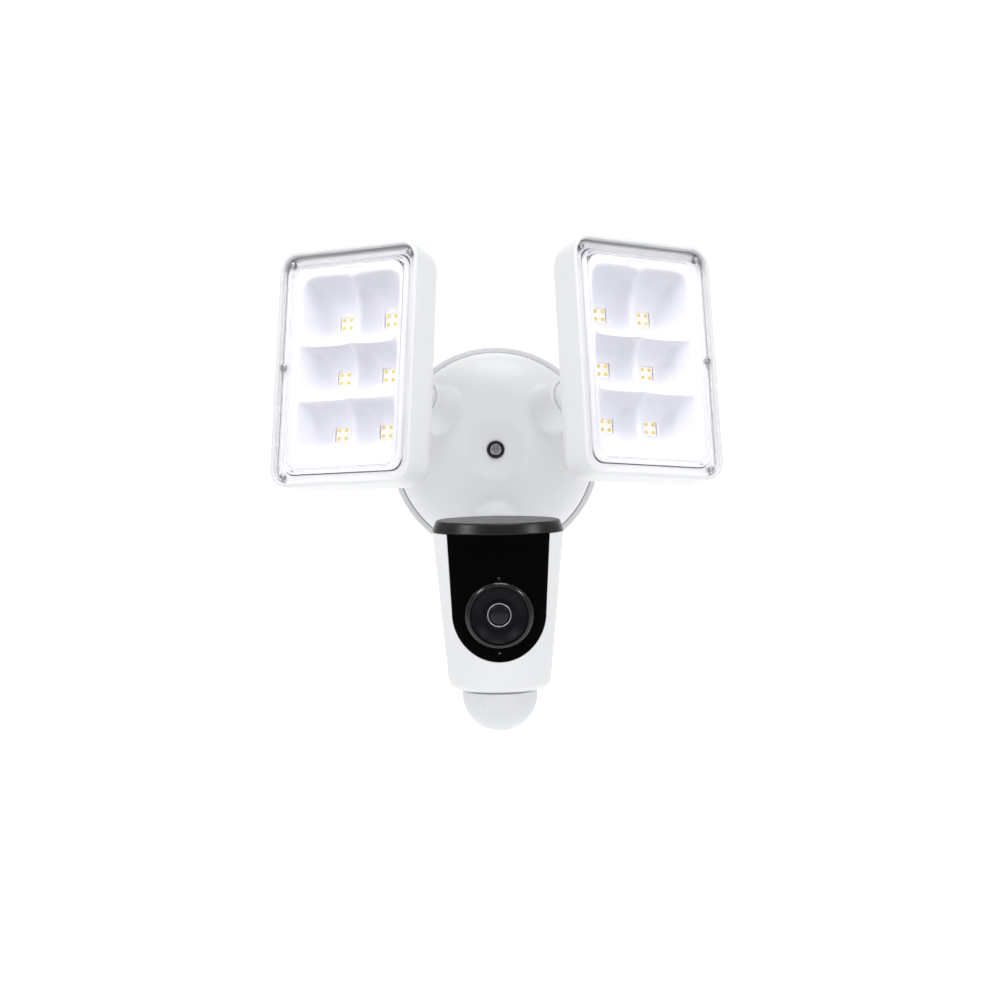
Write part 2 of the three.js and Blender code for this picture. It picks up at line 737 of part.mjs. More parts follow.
/** One reflector cell: a bowl that narrows from its mouth in the deck to the LED cluster. */
function cellBowl({ x, z, mouthX, mouthZ }, grow, front, back) {
  const { mouthWidth, mouthHeight, throat } = CELLS;
  const rings = [0, 0.55, 1].map((t) => {
    const pinch = t ** 1.5;
    const width = mouthWidth + (throat - mouthWidth) * pinch + 2 * grow;
    const height = mouthHeight + (throat - mouthHeight) * pinch + 2 * grow;
    const centreX = mouthX + (x - mouthX) * pinch;
    const centreZ = mouthZ + (z - mouthZ) * pinch;
    return roundedRing(width, height, 5 - 3 * t + grow, front + (back - front) * t, centreX, centreZ, 2);
  });
  return loft(rings);
}

function reflector() {
  const front = WINDOW.recess;
  const back = LED.plane - 1;
  const deck = slab(roundedOutline(WINDOW.width, WINDOW.height, WINDOW.corner), front, front + 1.6, 4);
  const limits = slab(roundedOutline(WINDOW.width - 1, WINDOW.height - 1, 8), front, back, 4);
  const outer = cells().map((cell) => cellBowl(cell, CELLS.wall, front + 0.2, back));
  const inner = cells().map((cell) => cellBowl(cell, 0, front - 0.2, back + 0.2));
  return cut(join(deck, join(...outer).intersect(limits)), ...inner);
}

function ledBoard() {
  const front = LED.plane + LED.height;
  const board = slab(roundedOutline(66, 100, 4, 0, CELLS.dropZ), front, front + 1.8, 3);
  const thickness = LED.height + 0.2;
  const clusters = cells().map(({ x, z }) =>
    block(LED.cluster, thickness, LED.cluster, x, LED.plane + thickness / 2, z)
  );
  return join(board, ...clusters);
}

/** Clear cover: a screwed flange, and a raised window with sloping sides. */
function lampLens(side) {
  const { flange, flangeBack, baseWidth, baseHeight, slope, top } = LENS;
  const outline = roundedOutline(
    LAMP.width - 2 * LAMP.rim - 0.6,
    LAMP.height - 2 * LAMP.rim - 0.6,
    LAMP.corner - LAMP.rim - 0.3
  );
  const raised = (inset, from, to) =>
    loft([
      roundedRing(baseWidth - 2 * inset, baseHeight - 2 * inset, 11 - inset, from),
      roundedRing(baseWidth - 2 * (slope + inset), baseHeight - 2 * (slope + inset), 10.4 - inset, to),
    ]);
  const body = cut(
    join(slab(outline, flange, flangeBack), raised(0, flangeBack, top)),
    raised(1.8, flangeBack + 0.1, top + 1.8)
  );
  const holes = screwPlaces(side).map(([, x, z]) =>
    rod(LAMP_SCREW.shank + GAP, 0, 10, BACK, SIDES.tiny).translate([x, 0, z])
  );
  const wells = screwPlaces(side).map(([, x, z]) =>
    rod(LAMP_SCREW.head + GAP, -2, flange, BACK, SIDES.small).translate([x, 0, z])
  );
  return cut(body, ...holes, ...wells);
}

function lampScrew(x, z) {
  const head = rod(LAMP_SCREW.head, 2, LENS.flange - GAP / 2, BACK, SIDES.small);
  const shank = rod(LAMP_SCREW.shank, 2.5, 14, BACK, SIDES.tiny);
  return join(head, shank).translate([x, 0, z]);
}

function buildLamp(name, at) {
  const side = name === 'left' ? -1 : 1;
  const joint = aimed(at, LAMP_AIM[name]);
  const bearing = LAMP.reach - LAMP.neckBack - GAP;
  joint.add(
    piece(`${name}_lamp_ball_stem`, ballStem(bearing, 9), WHITE),
    piece(`${name}_lamp_stem_nut`, stemNut(bearing + GAP + 2.6 + GAP), STEEL)
  );
  const head = new THREE.Group();
  head.position.set(0, -LAMP.reach, LAMP.lift);
  head.add(
    piece(`${name}_lamp_housing`, lampHousing(side), WHITE),
    piece(`${name}_lamp_gasket`, lampGasket(side), SILICONE),
    piece(`${name}_lamp_reflector`, reflector(), REFLECTOR_WHITE),
    piece(`${name}_lamp_led_board`, ledBoard(), ALUMINIUM),
    piece(`${name}_lamp_lens`, lampLens(side), CLEAR)
  );
  for (const [place, x, z] of screwPlaces(side)) {
    head.add(piece(`${name}_lamp_screw_${place}`, lampScrew(x, z), STEEL));
  }
  joint.add(head);
  return joint;
}

// ---------------------------------------------------------------------------------------------
// Camera module, in the frame of its ball: the stem runs along -Y, +Z is up.
// ---------------------------------------------------------------------------------------------

/** The body's tapered oval, grown or shrunk by offset, between two heights. */
function cameraBody(offset, low, high) {
  const { top, bottom, topWidth, bottomWidth, topDepth, bottomDepth, centre } = CAMERA;
  const ringAt = (z, drawIn = 0) => {
    const t = (top - z) / (top - bottom);
    const halfWidth = (topWidth + (bottomWidth - topWidth) * t) / 2 + offset - drawIn;
    const halfDepth = (topDepth + (bottomDepth - topDepth) * t) / 2 + offset - drawIn;
    return ovalRing(halfWidth, halfDepth, -centre, z);
  };
  return loft([ringAt(low, 4), ringAt(low + 1.4, 1.2), ringAt(low + 4, 0), ringAt(high)]);
}

/** Outline of the black front panel, a little larger where offset is positive. */
function panelOutline(offset) {
  const { halfTop, halfBottom } = PANEL;
  const outline = new THREE.Shape();
  const radius = halfBottom + offset;
  outline.moveTo(halfTop + offset, CAMERA.top + 4);
  outline.lineTo(radius, LENS_Z);
  outline.absarc(0, LENS_Z, radius, 0, -180 * DEG, true);
  outline.lineTo(-halfTop - offset, CAMERA.top + 4);
  outline.closePath();
  return outline;
}

const frontPrism = (offset) => slab(panelOutline(offset), -CAMERA.seam - 8, -CAMERA.centre - 40, 8);
const skin = (outer, inner) => {
  const { top, bottom } = CAMERA;
  return cut(cameraBody(outer, bottom - outer, top + 1), cameraBody(inner, bottom - inner, top + 2));
};
const lensBore = (radius) => rod(radius, 60, 110, FRONT, SIDES.medium).translate([0, 0, LENS_Z]);

/** Everything in front of, or behind, the seam between the two shells. */
function seamHalf(front) {
  const y = -CAMERA.seam;
  const offset = GAP / 2 + 40;
  return block(120, 80, 160, 0, front ? y - offset : y + offset, -30);
}

function cameraShell() {
  const { top, bottom, wall } = CAMERA;
  const hollow = cameraBody(-wall, bottom + wall, top - wall);
  return cut(cameraBody(0, bottom, top), hollow);
}

function cameraFrontShell() {
  const recess = skin(1, -PANEL.seat).intersect(frontPrism(GAP));
  const domeHole = rod(DOME.lip + GAP, -5, 8, Z, SIDES.medium).translate([0, -CAMERA.centre, CAMERA.bottom]);
  return cut(cameraShell().intersect(seamHalf(true)), recess, lensBore(CAMERA_LENS.bezel + GAP), domeHole);
}

/** Moves a solid from the sloping stem's frame, at the ball, into the body's frame. */
function onStem(body) {
  const { forward, down } = CAMERA_HANG;
  const slope = new THREE.Matrix4().makeTranslation(0, forward, down);
  slope.multiply(new THREE.Matrix4().makeRotationX(CAMERA_STEM_SLOPE));
  return body.transform(slope.elements);
}

function cameraBackShell() {
  const pad = onStem(rod(CAMERA.padRadius, CAMERA.padFace, CAMERA.padInside, FRONT, SIDES.round));
  const { z, slotPitch, slotWidth, slotHeight } = SPEAKER;
  const slots = [-2, -1, 0, 1, 2].map((i) => block(slotWidth, 20, slotHeight, i * slotPitch, -45, z));
  const domeHole = rod(DOME.lip + GAP, -5, 8, Z, SIDES.medium).translate([0, -CAMERA.centre, CAMERA.bottom]);
  return cut(
    join(cameraShell().intersect(seamHalf(false)), pad),
    onStem(rod(BALL.thread + GAP, CAMERA.padFace - 5, CAMERA.padInside + 5, FRONT, SIDES.round)),
    ...slots,
    domeHole,
    rod(RESET.radius + GAP, 30, 55, FRONT, SIDES.small).translate([0, 0, RESET.z])
  );
}

function visor() {
  const { top, topWidth, topDepth, centre } = CAMERA;
  const { height, topInset, wall } = VISOR;
  const [w, d] = [topWidth / 2, topDepth / 2];
  const outside = loft([
    ovalRing(w - 0.2, d + 0.4, -centre, top + GAP),
    ovalRing(w - 1.3, d - 1, -centre, top + 0.65 * height),
    ovalRing(w - topInset, d - 2, -centre, top + height - 0.8),
    ovalRing(w - topInset - 0.8, d - 2.8, -centre, top + height),
  ]);
  const inside = loft([
    ovalRing(w - wall, d - wall, -centre, top - 1),
    ovalRing(w - wall - 2, d - wall - 2, -centre, top + height - 2.2),
  ]);
  const pinhole = rod(0.7, 0, 12, Z, SIDES.tiny).translate([0, -centre - VISOR.pinhole, top]);
  return cut(outside, inside, pinhole);
}

function frontPanel() {
  const shell = skin(0.1, -PANEL.thickness).intersect(frontPrism(0));
  const aboveTop = block(120, 120, 40, 0, -CAMERA.centre, CAMERA.top + 20);
  const pinholes = PINHOLES.map((z) =>
    rod(0.7, 60, 110, FRONT, SIDES.tiny).translate([0, 0, LENS_Z + z])
  );
  return cut(shell, aboveTop, lensBore(CAMERA_LENS.bezel + GAP), ...pinholes);
}

function lensBezel() {
  const { bezel, barrel } = CAMERA_LENS;
  const { face } = PANEL;
  const body = turned(
    [
      [barrel + GAP, face - 9],
      [bezel, face - 9],
      [bezel, face - 0.2],
      [bezel - 0.7, face + 0.7],
      [bezel - 1.7, face + 1.4],
      [barrel + 0.6, face + 1.7],
      [barrel + GAP, face + 1.5],
    ],
    FRONT,
    SIDES.medium
  );
  return body.translate([0, 0, LENS_Z]);
}

function lensBarrel() {
  const { barrel, mount, glass } = CAMERA_LENS;
  const { face } = PANEL;
  const body = turned(
    [
      [glass + GAP, face - 16],
      [8, face - 16],
      [8, face - 8],
      [barrel, face - 8],
      [barrel, face + 0.8],
      [barrel - 0.8, face + 0.8],
      [9.6, face - 2.6],
      [8, face - 2.6],
      [8, face - 1.8],
      [mount, face - 1.4],
      [glass + GAP, face - 1.8],
    ],
    FRONT,
    SIDES.medium
  );
  return body.translate([0, 0, LENS_Z]);
}

function lensGlass() {
  const { glass } = CAMERA_LENS;
  const { face } = PANEL;
  const crown = [[glass, face - 2.4], [4.4, face - 1.7], [2.6, face - 1.1], [0, face - 0.8]];
  return turned([[0, face - 15], [glass, face - 15], ...crown], FRONT, SIDES.round).translate([0, 0, LENS_Z]);
}

function mainBoard() {
  const y = -71.2;
  const board = slab(roundedOutline(40, 62, 2, 0, -33), y, y - 1.6, 3);
  return join(
    board,
    block(12, 2, 12, -10, y + 0.8, -20),
    block(10, 1.6, 8, 9, y + 0.6, -48),
    block(8, 3, 12, 12, y + 1.2, -14)
  );
}

function imageSensor() {
  const carrier = block(20, 1.4, 20, 0, -73.9, LENS_Z);
  const chip = block(9, 0.8, 7, 0, -74.9, LENS_Z);
  return join(carrier, chip);
}

function pirDome() {
  const { radius, wall, lip, skirt } = DOME;
  const arc = (r, from, to, steps) =>
    Array.from({ length: steps + 1 }, (_, i) => {
      const angle = from + ((to - from) * i) / steps;
      return [r * Math.cos(angle), -skirt - r * Math.sin(angle)];
    });
  const inner = radius - wall;
  const body = turned(
    [
      ...arc(inner, 90 * DEG, 18 * DEG, 4).map(([r, z], i) => [i === 0 ? 0 : r, z]),
      [lip - wall, -6],
      [lip - wall, 4.6],
      [lip, 4.6],
      [lip, -GAP],
      [radius, -GAP],
      ...arc(radius, 0, 90 * DEG, 6).map(([r, z], i) => [i === 6 ? 0 : r, z]),
    ],
    Z,
    SIDES.medium
  );
  return body.translate([0, -CAMERA.centre, CAMERA.bottom]);
}

function pirSensor() {
  const board = rod(15.6, 1, 2.6, Z, SIDES.round);
  const can = rod(4.6, -4.4, 1.2, Z, SIDES.small);
  return join(board, can).translate([0, -CAMERA.centre, CAMERA.bottom]);
}

function speaker() {
  return turned(
    [[0, 48.6], [SPEAKER.radius, 48.6], [SPEAKER.radius, 51], [7.4, 52.2], [7.4, 54.4], [0, 54.4]],
    FRONT,
    SIDES.round
  ).translate([0, 0, SPEAKER.z]);
}

function resetButton() {
  const { radius, face, flange, foot } = RESET;
  const cap = rod(radius, face, flange, FRONT, SIDES.small);
  const collar = rod(radius + 1, flange, flange + 1, FRONT, SIDES.small);
  const plunger = rod(1.6, flange + 1, foot, FRONT, SIDES.tiny);
  return join(cap, collar, plunger).translate([0, 0, RESET.z]);
}

function buildCamera() {
  const joint = aimed(CAMERA_BALL, { pitch: CAMERA_TILT });
  const stem = new THREE.Group();
  stem.rotation.x = CAMERA_STEM_SLOPE;
  stem.add(
    piece('camera_ball_stem', ballStem(CAMERA.padFace - GAP, 16.3), WHITE),
    piece('camera_stem_nut', stemNut(CAMERA.padInside + GAP), STEEL)
  );
  const body = new THREE.Group();
  body.position.set(0, -CAMERA_HANG.forward, -CAMERA_HANG.down);
  body.add(
    piece('camera_body', cameraFrontShell(), WHITE),
    piece('camera_back', cameraBackShell(), WHITE),
    piece('camera_visor', visor(), GLOSS_BLACK),
    piece('front_panel', frontPanel(), GLOSS_BLACK),
    piece('lens_bezel', lensBezel(), GLOSS_BLACK),
    piece('lens_barrel', lensBarrel(), BLACK),
    piece('lens_glass', lensGlass(), GLASS),
    piece('main_board', mainBoard(), BOARD_GREEN),
    piece('image_sensor', imageSensor(), BLACK),
    piece('pir_dome', pirDome(), FROSTED),
    piece('pir_sensor', pirSensor(), STEEL),
    piece('speaker', speaker(), BLACK),
    piece('reset_button', resetButton(), RUBBER)
  );
  joint.add(stem, body);
  return joint;
}

// ---------------------------------------------------------------------------------------------
// The whole fixture
// ---------------------------------------------------------------------------------------------

const floodlightCamera = new THREE.Group();
floodlightCamera.add(
  buildBase(),
  ...Object.keys(JOINTS).map(buildSocket),
  buildLamp('left', { ...LAMP_BALL, x: -LAMP_BALL.x }),
  buildLamp('right', LAMP_BALL),
  buildCamera()
);

export default floodlightCamera;
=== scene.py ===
"""Looks of a wall-mounted floodlight security camera, built around its packed CAD part.

Frame: metres, the wall is the plane y = 0, the front looks along -Y and +Z is up. Pieces are
shaped in millimetres in the frame of their own joint or head, and placed in their mesh.
"""

import json
from math import asin, cos, pi, radians, sin, sqrt

import bmesh
import bpy
from bpy.props import FloatProperty, FloatVectorProperty, PointerProperty
from mathutils import Matrix, Vector


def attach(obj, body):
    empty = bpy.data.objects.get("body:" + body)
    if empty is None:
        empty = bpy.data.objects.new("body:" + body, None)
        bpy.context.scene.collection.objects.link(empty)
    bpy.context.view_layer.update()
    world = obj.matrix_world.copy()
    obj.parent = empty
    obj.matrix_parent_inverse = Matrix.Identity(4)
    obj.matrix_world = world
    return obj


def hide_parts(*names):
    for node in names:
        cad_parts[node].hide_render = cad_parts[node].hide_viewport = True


bl_info = {
    "name": "Floodlight camera looks",
    "version": (1, 0, 0),
    "blender": (4, 5, 0),
    "location": "3D View > Sidebar > Floodlight",
    "description": "Builds the finished surfaces of a floodlight security camera",
    "category": "Object",
}

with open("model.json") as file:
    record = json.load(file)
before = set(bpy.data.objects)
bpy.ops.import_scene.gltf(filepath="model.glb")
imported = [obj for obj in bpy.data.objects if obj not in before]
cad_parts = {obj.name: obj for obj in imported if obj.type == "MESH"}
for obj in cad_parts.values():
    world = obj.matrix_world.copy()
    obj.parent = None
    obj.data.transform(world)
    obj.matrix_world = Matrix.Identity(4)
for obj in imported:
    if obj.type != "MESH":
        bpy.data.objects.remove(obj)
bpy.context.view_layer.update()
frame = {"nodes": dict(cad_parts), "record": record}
BODIES = frame["record"]["behaviour"]["bodies"]

MM = 0.001
SIDES = {"left": -1, "right": 1}
ROUND = 72  # steps of a large turned piece
SMALL = 32  # steps of a small turned piece
SHARP = radians(35)  # edges that turn more than this are rounded


# ------------------------------------------------------------------------------------ settings


def length(name, description, default_mm):
    """A size that a user may change, shown in the scene's units."""
    return FloatProperty(
        name=name, description=description, default=default_mm * MM, min=0.0,
        unit="LENGTH", subtype="DISTANCE",
    )


def turn(name, description, default_degrees):
    """An angle that a user may change."""
    return FloatProperty(
        name=name, description=description, default=radians(default_degrees),
        unit="ROTATION", subtype="ANGLE",
    )


def colour(name, description, *rgb):
    """A colour that a user may change."""
    return FloatVectorProperty(
        name=name, description=description, default=rgb, min=0.0, max=1.0, size=3, subtype="COLOR"
    )


class BaseSettings(bpy.types.PropertyGroup):
    """Sizes of the round base."""

    cover_radius: length("Cover radius", "Radius of the domed cover at its edge", 59.6)
    crown: length("Crown", "Height of the cover above the wall before the dish", 36.0)
    plate_radius: length("Plate radius", "Radius of the plate that lies on the wall", 63.5)
    dish_radius: length("Dish radius", "Radius of the shallow dish round the centre screw", 18.2)
    dish_depth: length("Dish depth", "Depth of the dish", 3.6)
    blend: length("Blend", "Width of the soft blend at the foot of each boss", 3.0)


class LampSettings(bpy.types.PropertyGroup):
    """Sizes of a floodlight head."""

    width: length("Width", "Outer width of a head", 87.7)
    height: length("Height", "Outer height of a head", 132.6)
    corner: length("Corner radius", "Radius of the outer corners", 11.0)
    rim: length("Rim", "Thickness of the housing wall", 2.2)
    depth: length("Depth", "Depth of the housing without its neck", 34.0)
    bowl_depth: length("Bowl depth", "Depth of a reflector bowl below its deck", 20.7)
    package: length("LED package", "Side of one LED package", 3.5)
    package_pitch: length("LED pitch", "Distance between the LED packages of a cluster", 4.5)


class CameraSettings(bpy.types.PropertyGroup):
    """Sizes of the camera module."""

    top_width: length("Top width", "Width of the body at its top", 71.6)
    bottom_width: length("Bottom width", "Width of the body at its bottom", 55.6)
    top_depth: length("Top depth", "Front-to-back size at the top", 50.0)
    bottom_depth: length("Bottom depth", "Front-to-back size at the bottom", 45.0)
    foot_round: length("Foot rounding", "Radius where the sides meet the underside", 5.0)
    bezel: length("Bezel radius", "Outer radius of the lens bezel", 18.2)
    dome: length("Dome radius", "Radius of the motion sensor's dome", 20.7)


class FinishSettings(bpy.types.PropertyGroup):
    """Colours of the surfaces."""

    white: colour("White plastic", "Cover, housings and camera body", 0.83, 0.835, 0.84)
    plate: colour("Plate", "Rear plate", 0.66, 0.665, 0.685)
    reflector: colour("Reflector", "Satin reflector bowls", 0.88, 0.88, 0.935)
    phosphor: colour("Phosphor", "Yellow layer of an LED", 0.86, 0.66, 0.14)
    gloss_black: colour("Gloss black", "Front panel, cap and bezel", 0.0005, 0.0005, 0.0008)
    dome: colour("Dome", "Frosted dome of the motion sensor", 0.76, 0.765, 0.785)


class StageSettings(bpy.types.PropertyGroup):
    """Where the camera stands, and how bright the studio is."""

    distance: length("Distance", "From the camera to the base", 1100.0)
    turn: turn("Turn", "Camera's turn round the object", -0.5)
    rise: turn("Rise", "Camera's height angle", -1.0)
    roll: turn("Roll", "Camera's roll", -0.8)
    aim_right: length("Aim right", "How far right of the base the camera looks", 2.8)
    aim_down: length("Aim down", "How far below the base the camera looks", 29.25)
    studio: FloatProperty(
        name="Studio", description="Strength of the light from all round", default=0.5, min=0.0
    )
    key: FloatProperty(
        name="Key", description="Power of the key light", default=4.2, min=0.0, unit="POWER"
    )


GROUPS = {
    "floodlight_base": BaseSettings,
    "floodlight_lamp": LampSettings,
    "floodlight_camera": CameraSettings,
    "floodlight_finish": FinishSettings,
    "floodlight_stage": StageSettings,
}


def setting(group, name):
    """A length from a settings group, in millimetres."""
    return getattr(getattr(bpy.context.scene, "floodlight_" + group), name) / MM


# ------------------------------------------------------------------------------- joint frames


def aimed(at, yaw=0.0, pitch=0.0, roll=0.0):
    """The frame of a ball at a place in millimetres, turned about Z, then X, then Y by degrees."""
    turned = (
        Matrix.Rotation(radians(yaw), 4, "Z") @ Matrix.Rotation(radians(pitch), 4, "X")
        @ Matrix.Rotation(radians(roll), 4, "Y")
    )
    return Matrix.Translation(Vector(at)) @ turned


BALLS = {"left": (-43.8, -46, 29.6), "right": (43.8, -46, 29.6), "camera": (0, -46, -50.5)}
ARMS = {
    "left": aimed(BALLS["left"], yaw=-31, pitch=-16),
    "right": aimed(BALLS["right"], yaw=31, pitch=-16),
    "camera": aimed(BALLS["camera"], pitch=20),
}
AIMS = {
    "left": aimed(BALLS["left"], yaw=-27.2, pitch=-7.8, roll=-0.9),
    "right": aimed(BALLS["right"], yaw=27.8, pitch=-8.9, roll=2.4),
    "camera": aimed(BALLS["camera"], pitch=5.8),
}
STEM_SLOPE = Matrix.Rotation(radians(14), 4, "X")
STEMS = {"left": AIMS["left"], "right": AIMS["right"], "camera": AIMS["camera"] @ STEM_SLOPE}
HEADS = {side: AIMS[side] @ Matrix.Translation((0, -86.8, 2.1)) for side in SIDES}
CAMERA_HANG = Matrix.Translation((0, -2.8, -4.2))  # the body hangs a little below its ball
CAMERA = AIMS["camera"] @ CAMERA_HANG
BASE = Matrix.Identity(4)

FRONT = Matrix.Rotation(radians(90), 4, "X")  # what is shaped along +Z points to the front
BACK = Matrix.Rotation(radians(-90), 4, "X")
UP = Matrix.Identity(4)


def body_of(node):
    """The CAD body that holds a node."""
    return next(body for body, nodes in BODIES.items() if node in nodes)


# ------------------------------------------------------------------------------------ shaping


def lathe(profile, direction=FRONT, steps=ROUND):
    """A turned solid from (radius, distance) pairs. Off the axis, the profile closes on itself."""
    bm = bmesh.new()
    points = [bm.verts.new((radius, 0, along)) for radius, along in profile]
    edges = [bm.edges.new(pair) for pair in zip(points, points[1:])]
    if profile[0][0] > 0:
        edges.append(bm.edges.new((points[-1], points[0])))
    bmesh.ops.spin(
        bm, geom=points + edges, cent=(0, 0, 0), axis=(0, 0, 1), angle=2 * pi, steps=steps,
        use_merge=True,
    )
    bmesh.ops.remove_doubles(bm, verts=bm.verts, dist=1e-3)
    bmesh.ops.recalc_face_normals(bm, faces=bm.faces)
    bmesh.ops.transform(bm, matrix=direction, verts=bm.verts)
    return bm


def rod(radius, start, end, direction=FRONT, steps=SMALL):
    return lathe([(0, start), (radius, start), (radius, end), (0, end)], direction, steps)


def arc(centre, radius, start, end, steps, squash=1.0):
    """(radius, distance) pairs along a circle, from one angle to another in degrees."""
    pairs = []
    for i in range(steps + 1):
        angle = radians(start + (end - start) * i / steps)
        pairs.append((centre[0] + radius * cos(angle), centre[1] + squash * radius * sin(angle)))
    return pairs


def moved(bm, x=0.0, y=0.0, z=0.0):
    bmesh.ops.translate(bm, vec=(x, y, z), verts=bm.verts)
    return bm


def turned_by(bm, matrix):
    bmesh.ops.transform(bm, matrix=matrix, verts=bm.verts)
    return bm


def box(width, depth, height, x=0.0, y=0.0, z=0.0):
    bm = bmesh.new()
    bmesh.ops.create_cube(bm, size=1.0)
    bmesh.ops.scale(bm, vec=(width, depth, height), verts=bm.verts)
    return moved(bm, x, y, z)


def extrude_cap(bm, cap, move, grow=(1, 1, 1)):
    """Pulls a face out, moves it and scales it about the axis; returns the new face."""
    inside = any(len(edge.link_faces) > 1 for edge in cap.edges)
    made = bmesh.ops.extrude_face_region(bm, geom=[cap])["geom"]
    if inside:
        bmesh.ops.delete(bm, geom=[cap], context="FACES_ONLY")
    cap = next(g for g in made if isinstance(g, bmesh.types.BMFace))
    bmesh.ops.scale(bm, vec=grow, verts=cap.verts)
    bmesh.ops.translate(bm, vec=move, verts=cap.verts)
    return cap


def stack(levels, corner=None, segments=10, steps=ROUND):
    """A closed solid through (height, width, depth) levels along Z.

    With a corner radius the levels are rectangles with round corners, otherwise ovals.
    """
    bm = bmesh.new()
    height, width, depth = levels[0]
    if corner is None:
        bmesh.ops.create_circle(bm, cap_ends=True, radius=0.5, segments=steps)
    else:
        bmesh.ops.create_grid(bm, x_segments=1, y_segments=1, size=0.5)
    bmesh.ops.scale(bm, vec=(width, depth, 1), verts=bm.verts)
    bmesh.ops.translate(bm, vec=(0, 0, height), verts=bm.verts)
    if corner is not None:
        bmesh.ops.bevel(
            bm, geom=bm.verts[:], offset=corner, offset_type="OFFSET", affect="VERTICES",
            segments=segments, profile=0.5, material=-1,
        )
    cap = next(iter(bm.faces))
    for z, w, d in levels[1:]:
        cap = extrude_cap(bm, cap, (0, 0, z - height), (w / width, d / depth, 1))
        height, width, depth = z, w, d
    bmesh.ops.recalc_face_normals(bm, faces=bm.faces)
    return bm


def panel_stack(levels, corner, segments=12):
    """A stack whose levels are (depth behind the rim, width, height) in a head's frame."""
    bm = stack([(-y, w, h) for y, w, h in levels], corner, segments)
    return turned_by(bm, FRONT)


def soften(bm, radius, segments=2):
    """Rounds the sharp edges."""
    edges = [e for e in bm.edges if len(e.link_faces) == 2 and e.calc_face_angle(0) > SHARP]
    bmesh.ops.bevel(
        bm, geom=edges, offset=radius, offset_type="OFFSET", affect="EDGES", segments=segments,
        profile=0.5, clamp_overlap=True, material=-1,
    )
    return bm


def gathered(*parts):
    """Several separate shells in one mesh."""
    whole = bmesh.new()
    for part in parts:
        mesh = bpy.data.meshes.new("part")
        part.to_mesh(mesh)
        part.free()
        whole.from_mesh(mesh)
        bpy.data.meshes.remove(mesh)
    return whole


def helper_object(bm):
    mesh = bpy.data.meshes.new("helper")
    bm.to_mesh(mesh)
    bm.free()
    made = bpy.data.objects.new("helper", mesh)
    bpy.context.scene.collection.objects.link(made)
    return made


def with_modifiers(bm, *recipes, others=()):
    """The mesh with modifiers applied: each recipe is (kind, settings)."""
    base = helper_object(bm)
    for kind, values in recipes:
        modifier = base.modifiers.new(kind.lower(), kind)
        for name, value in values.items():
            setattr(modifier, name, value)
    bpy.context.view_layer.update()
    evaluated = base.evaluated_get(bpy.context.evaluated_depsgraph_get())
    result = bmesh.new()
    result.from_mesh(evaluated.to_mesh())
    evaluated.to_mesh_clear()
    for made in (base, *others):
        mesh = made.data
        bpy.data.objects.remove(made)
        bpy.data.meshes.remove(mesh)
    return result


def combined(bm, tools, operation):
    others = [helper_object(tool) for tool in tools]
    recipes = [
        ("BOOLEAN", {"operation": operation, "object": other, "solver": "MANIFOLD"})
        for other in others
    ]
    result = with_modifiers(bm, *recipes, others=others)
    if not result.faces:
        raise RuntimeError("a boolean left nothing of a piece")
    return result


def joined(bm, *tools):
    return combined(bm, tools, "UNION")


def cut(bm, *tools):
    return combined(bm, tools, "DIFFERENCE")


def kept(bm, tool):
    return combined(bm, [tool], "INTERSECT")


def add_piece(name, bm, place, stands_for, material, smooth=32):
    """Places a finished mesh, gives it its material, and lets it stand for CAD nodes."""
    turned_by(bm, Matrix.Scale(MM, 4) @ place)
    mesh = bpy.data.meshes.new(name)
    bm.to_mesh(mesh)
    bm.free()
    mesh.shade_smooth()
    if smooth < 180:
        mesh.set_sharp_from_angle(angle=radians(smooth))
    made = bpy.data.objects.new(name, mesh)
    bpy.context.scene.collection.objects.link(made)
    mesh.materials.append(material)
    nodes = [stands_for] if isinstance(stands_for, str) else list(stands_for)
    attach(made, body_of(nodes[0]))
    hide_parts(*nodes)
    return made


# ---------------------------------------------------------------------------------- materials


def new_group(name, inputs):
    """An effect group: a place and named inputs go in; colour, roughness and normal come out."""
    group = bpy.data.node_groups.new(name, "ShaderNodeTree")
    group.interface.new_socket(name="Vector", in_out="INPUT", socket_type="NodeSocketVector")
    for socket, value in inputs.items():
        kind = "NodeSocketFloat" if isinstance(value, float) else "NodeSocketColor"
        made = group.interface.new_socket(name=socket, in_out="INPUT", socket_type=kind)
        made.default_value = value
    for socket, kind in (("Colour", "Color"), ("Roughness", "Float"), ("Normal", "Vector")):
        group.interface.new_socket(
            name=socket, in_out="OUTPUT", socket_type="NodeSocket" + kind
        )
    return group, group.nodes.new("NodeGroupInput"), group.nodes.new("NodeGroupOutput")


def noise(tree, vector, scale, detail=3.0, roughness=0.5):
    node = tree.nodes.new("ShaderNodeTexNoise")
    node.inputs["Detail"].default_value = detail
    node.inputs["Roughness"].default_value = roughness
    tree.links.new(vector, node.inputs["Vector"])
    plug(tree, scale, node.inputs["Scale"])
    return node.outputs["Fac"]


def plug(tree, value, socket):
    """Links a socket, or sets a plain value."""
    if isinstance(value, bpy.types.NodeSocket):
        tree.links.new(value, socket)
    else:
        socket.default_value = value


def maths(tree, operation, a, b=0.0, c=0.0):
    node = tree.nodes.new("ShaderNodeMath")
    node.operation = operation
    for socket, value in zip(node.inputs, (a, b, c)):
        plug(tree, value, socket)
    return node.outputs[0]


def mixed(tree, factor, a, b):
    node = tree.nodes.new("ShaderNodeMix")
    node.data_type = "RGBA"
    plug(tree, factor, node.inputs["Factor"])
    plug(tree, a, node.inputs["A"])
    plug(tree, b, node.inputs["B"])
    return node.outputs["Result"]


def bumped(tree, height, distance, strength=1.0):
    node = tree.nodes.new("ShaderNodeBump")
    node.inputs["Strength"].default_value = strength
    plug(tree, distance, node.inputs["Distance"])
    tree.links.new(height, node.inputs["Height"])
    return node.outputs["Normal"]


